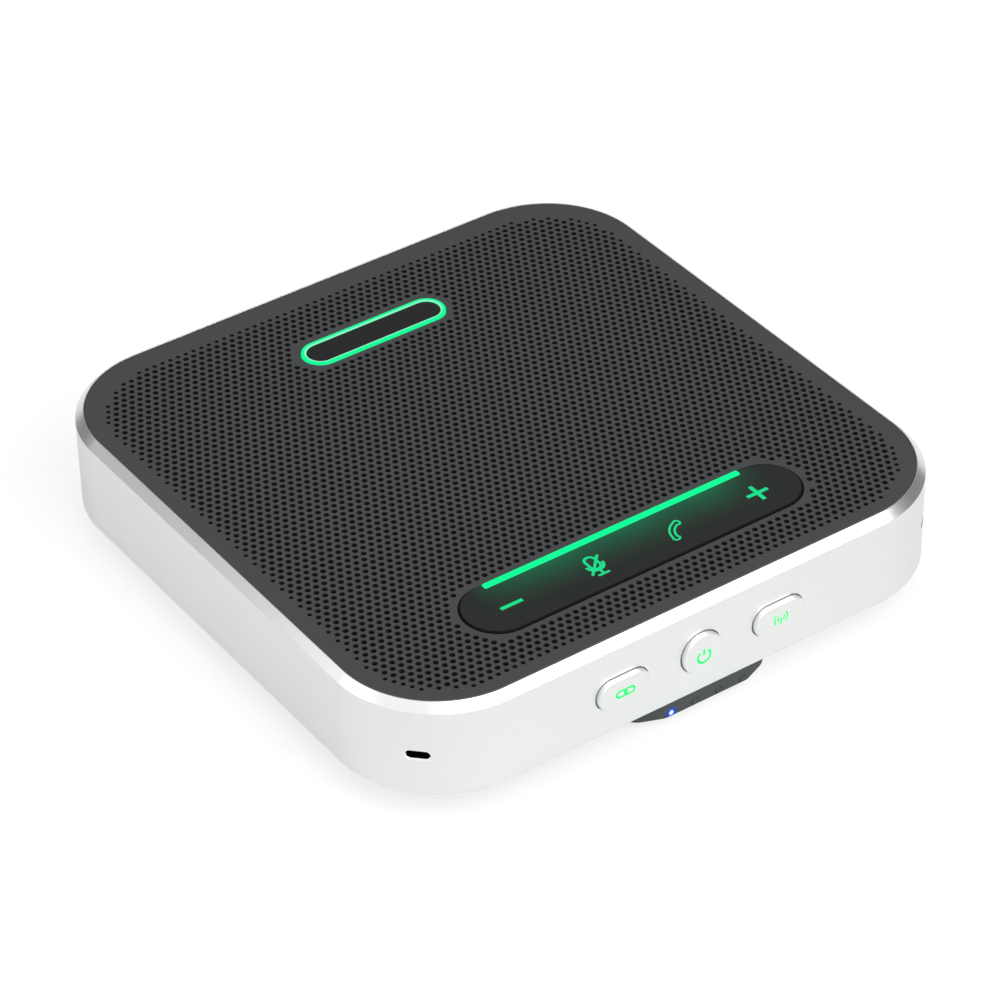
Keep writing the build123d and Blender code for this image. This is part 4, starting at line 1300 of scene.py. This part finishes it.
# %% Tube, tongue and contacts
steel = grained("steel_parts", tint(196, 197, 196), 0.24, 1.0, drift=0.04, grain=900.0, relief=0.003)
gold = grained("contact_gold", tint(226, 184, 104), 0.28, 1.0, drift=0.06, grain=900.0, relief=0.002)
tube_half = (port_high.x, (port_high.z - port_low.z) / 2)
tube_sheet = 0.3
inner_back = -port_low.y - 1.0
tube_line = filleted(
    [
        (0.0, -port_low.y, 0.2),
        (0.0, -port_high.y, 0.12),
        (tube_sheet, -port_high.y, 0.12),
        (tube_sheet, inner_back, 0.0),
    ],
    steps=3,
)
tube = lofted(*tube_half, tube_half[1], tube_line, quarter=12)
moved(facing_front(tube), 0, 0, port_z)
finish(tube, "port_tube", [steel], replaced=["port_shell"])
tongue_low, tongue_high = span("port_tongue")
tongue_half = (tongue_high.x, (tongue_high.z - tongue_low.z) / 2)
tongue_corner = 0.15
tongue = soft_block(
    *tongue_half, tongue_corner, -tongue_low.y, -tongue_high.y, 0.12, 0.3, quarter=4
)
contacts = []
contact_half = (0.14, 0.03)
contact_corner = 0.02
contact_pitch = 0.5
contact_count = 12
contact_line = [(0, -tongue_low.y - 4.0), (0, -tongue_high.y + 0.4)]
for k in range(contact_count):
    for side in (-1, 1):
        contact = lofted(*contact_half, contact_corner, contact_line, quarter=1)
        for face in contact.faces:
            face.material_index = 1
        place = ((k - (contact_count - 1) / 2) * contact_pitch, side * tongue_half[1], 0)
        contacts.append(moved(contact, *place))
tongue = moved(facing_front(merged(tongue, *contacts)), 0, 0, port_z)
finish(tongue, "contact_tongue", [black_plastic, gold], replaced=["port_tongue"])

# %% [markdown]
# ## Finishes for what stays inside
#
# The loudspeaker, the boards and the battery are hidden, but they are part of the model, so each
# keeps its construction shape. A construction part names its finish, and the finish made here
# under that name takes its place.

# %% Inside finishes
def woven(name, dark, light, scale, relief):
    """Cloth with two crossing sets of threads."""
    material, shader, shade = surface(name)
    place = object_place(shade)
    sets = []
    for direction in ("X", "Y"):
        settings = {"bands_direction": direction, "wave_profile": "SIN"}
        inputs = {"Vector": place, "Scale": scale, "Distortion": 0.6, "Detail": 1.0}
        sets.append(shade.node("ShaderNodeTexWave", settings, inputs, "Fac"))
    threads = sets[0].maths("MAXIMUM", *sets)
    link(shade, shader, Base_Color=mixed(shade, threads, dark, light), Roughness=0.9)
    link(shade, shader, Normal=bumped(shade, threads, relief * MM))
    return material


grained("led_package", tint(232, 230, 218), 0.4, grain=1200.0)
grained("circuit_board", tint(20, 92, 52), 0.3, grain=700.0, relief=0.01)
grained("gasket_foam", tint(38, 38, 38), 0.95, drift=0.25, grain=1500.0, relief=0.1)
grained("basket_paint", tint(38, 38, 39), 0.4, grain=1100.0)
grained("ferrite", tint(52, 51, 53), 0.6, drift=0.15, grain=800.0, relief=0.03)
grained("coil_copper", tint(216, 140, 96), 0.3, 1.0, grain=1600.0)
grained("cone_paper", tint(36, 36, 36), 0.9, drift=0.2, grain=500.0, relief=0.05)
grained("battery_wrap", tint(148, 152, 160), 0.35, grain=300.0, relief=0.02)
woven("spider_cloth", tint(150, 112, 52), tint(206, 166, 92), 260.0, 0.05)
woven("scrim_fabric", tint(4, 4, 4), tint(16, 16, 16), 420.0, 0.04)
kept_nodes = [node for node in nodes.values() if not node.hide_render]
for node in kept_nodes:
    chosen = made_finishes[node.data.materials[0].name]
    if node.name.startswith("mic_boots"):
        chosen = boot_rubber_and_slot_shade  # the boots show through the slots
    for index in range(len(node.data.materials)):
        node.data.materials[index] = chosen
print(len(kept_nodes), "construction parts keep their shape")

# %% [markdown]
# ## Studio
#
# The room is a pale floor under a soft sky, with one large soft lamp in front. Metal shows what is
# around it, so the sky isn't the same on all sides: it is bright at the front left and dim behind,
# and a small panel close to the left side lights the near end of the polished band there. To the
# camera the floor and the sky are white through Light Path, while the floor keeps the shadow and
# mirrors only a little. From below the floor is clear, so that the underside can be looked at.

# %% Floor and sky
floor_half = 4.0
floor_lift = 0.75  # how much of the floor's white is its own, to the camera
mirrored_share = 0.12  # how much of that a mirror shows
lit_floor = (0.86, 0.86, 0.86, 1.0)
seen_floor = (0.3, 0.3, 0.3, 1.0)
floor_mesh = bpy.data.meshes.new("studio_floor")
floor_bm = bmesh.new()
bmesh.ops.create_grid(floor_bm, x_segments=1, y_segments=1, size=floor_half)
floor_bm.to_mesh(floor_mesh)
floor_bm.free()
floor = bpy.data.objects.new("studio_floor", floor_mesh)
bpy.context.scene.collection.objects.link(floor)


def ray_kinds(shade, *kinds):
    """One Shade for each kind of ray, which is 1 for rays of that kind."""
    path = shade.tree.nodes.new("ShaderNodeLightPath")
    return [Shade(shade.tree, path.outputs[f"Is {kind} Ray"]) for kind in kinds]


floor_material, floor_shader, shade = surface("studio_floor")
from_camera, from_mirror, from_glass = ray_kinds(shade, "Camera", "Glossy", "Transmission")
seen = shade.maths("MINIMUM", from_camera + from_glass + from_mirror * mirrored_share, 1.0)
pale = mixed(shade, seen, lit_floor, seen_floor)
white = (1.0, 1.0, 1.0, 1.0)
link(shade, floor_shader, Base_Color=pale, Roughness=0.9, Specular_IOR_Level=0.0)
link(shade, floor_shader, Emission_Color=white, Emission_Strength=seen * floor_lift)
clear = shade.node("ShaderNodeBsdfTransparent")
lower_side = shade.node("ShaderNodeNewGeometry", output="Backfacing")
solid = Shade(shade.tree, floor_shader.outputs["BSDF"])
one_sided = shade.node("ShaderNodeMixShader", None, {0: lower_side, 1: solid, 2: clear})
surface_out = shade.tree.nodes["Material Output"].inputs["Surface"]
shade.tree.links.new(one_sided.socket, surface_out)
floor_mesh.materials.append(floor_material)

world = bpy.data.worlds.new("studio_sky")
bpy.context.scene.world = world
world.use_nodes = True
sky = Shade(world.node_tree)
background = world.node_tree.nodes["Background"]
direction = sky.node("ShaderNodeTexCoord", output="Generated")
bright_side = Vector((-0.6, -0.6, 0.5)).normalized()
towards = sky.node(
    "ShaderNodeVectorMath",
    {"operation": "DOT_PRODUCT"},
    {0: direction, 1: bright_side},
    "Value",
)
sky_low, sky_high = 0.22, 0.95
sky_edges = (-0.2, 0.6)
settings = {"interpolation_type": "SMOOTHSTEP"}
inputs = {0: towards, 1: sky_edges[0], 2: sky_edges[1], 3: sky_low, 4: sky_high}
level = sky.node("ShaderNodeMapRange", settings, inputs)
camera_ray = ray_kinds(sky, "Camera")[0]
level = level * (1 - camera_ray) + camera_ray
link(sky, background, Color=white, Strength=level)

# %% Lamps
def soft_lamp(name, place, size, power):
    """An area lamp that faces the body."""
    lamp = bpy.data.lights.new(name, "AREA")
    lamp.shape = "RECTANGLE"
    lamp.size, lamp.size_y = size
    lamp.energy = power
    holder = bpy.data.objects.new(name, lamp)
    bpy.context.scene.collection.objects.link(holder)
    towards_body = Vector((0, 0, 0.02)) - Vector(place)
    turn = towards_body.to_track_quat("-Z", "Y").to_matrix().to_4x4()
    holder.matrix_world = Matrix.Translation(place) @ turn
    holder.visible_camera = False


soft_lamp("key_softbox", (0.25, -1.2, 1.04), (1.7, 1.3), 17.0)
soft_lamp("left_panel", (-0.27, 0.07, 0.15), (0.18, 0.1), 0.03)

# %% [markdown]
# ## Camera
#
# A long lens looks at the body from the front left, from above. The place is written as an
# azimuth, an elevation and a distance from a point on the top, and the camera leans very slightly.

# %% Camera and colour
azimuth = -34.68
elevation = 37.276
lean = -0.961
distance = 0.85241
aim = Vector((-0.01313, -0.0202, 0.03))
camera = bpy.data.cameras.new("camera")
camera.lens = 146.4
camera.sensor_width = 36.0
camera.clip_start = 0.01
viewer = bpy.data.objects.new("camera", camera)
bpy.context.scene.collection.objects.link(viewer)
facing = Matrix.Rotation(math.radians(azimuth), 4, "Z") @ Matrix.Rotation(
    math.radians(90 - elevation), 4, "X"
)
leaning = Matrix.Rotation(math.radians(lean), 4, "Z")
viewer.matrix_world = (
    Matrix.Translation(aim) @ facing @ leaning @ Matrix.Translation((0, 0, distance))
)
bpy.context.scene.camera = viewer
bpy.context.scene.view_settings.view_transform = "Standard"
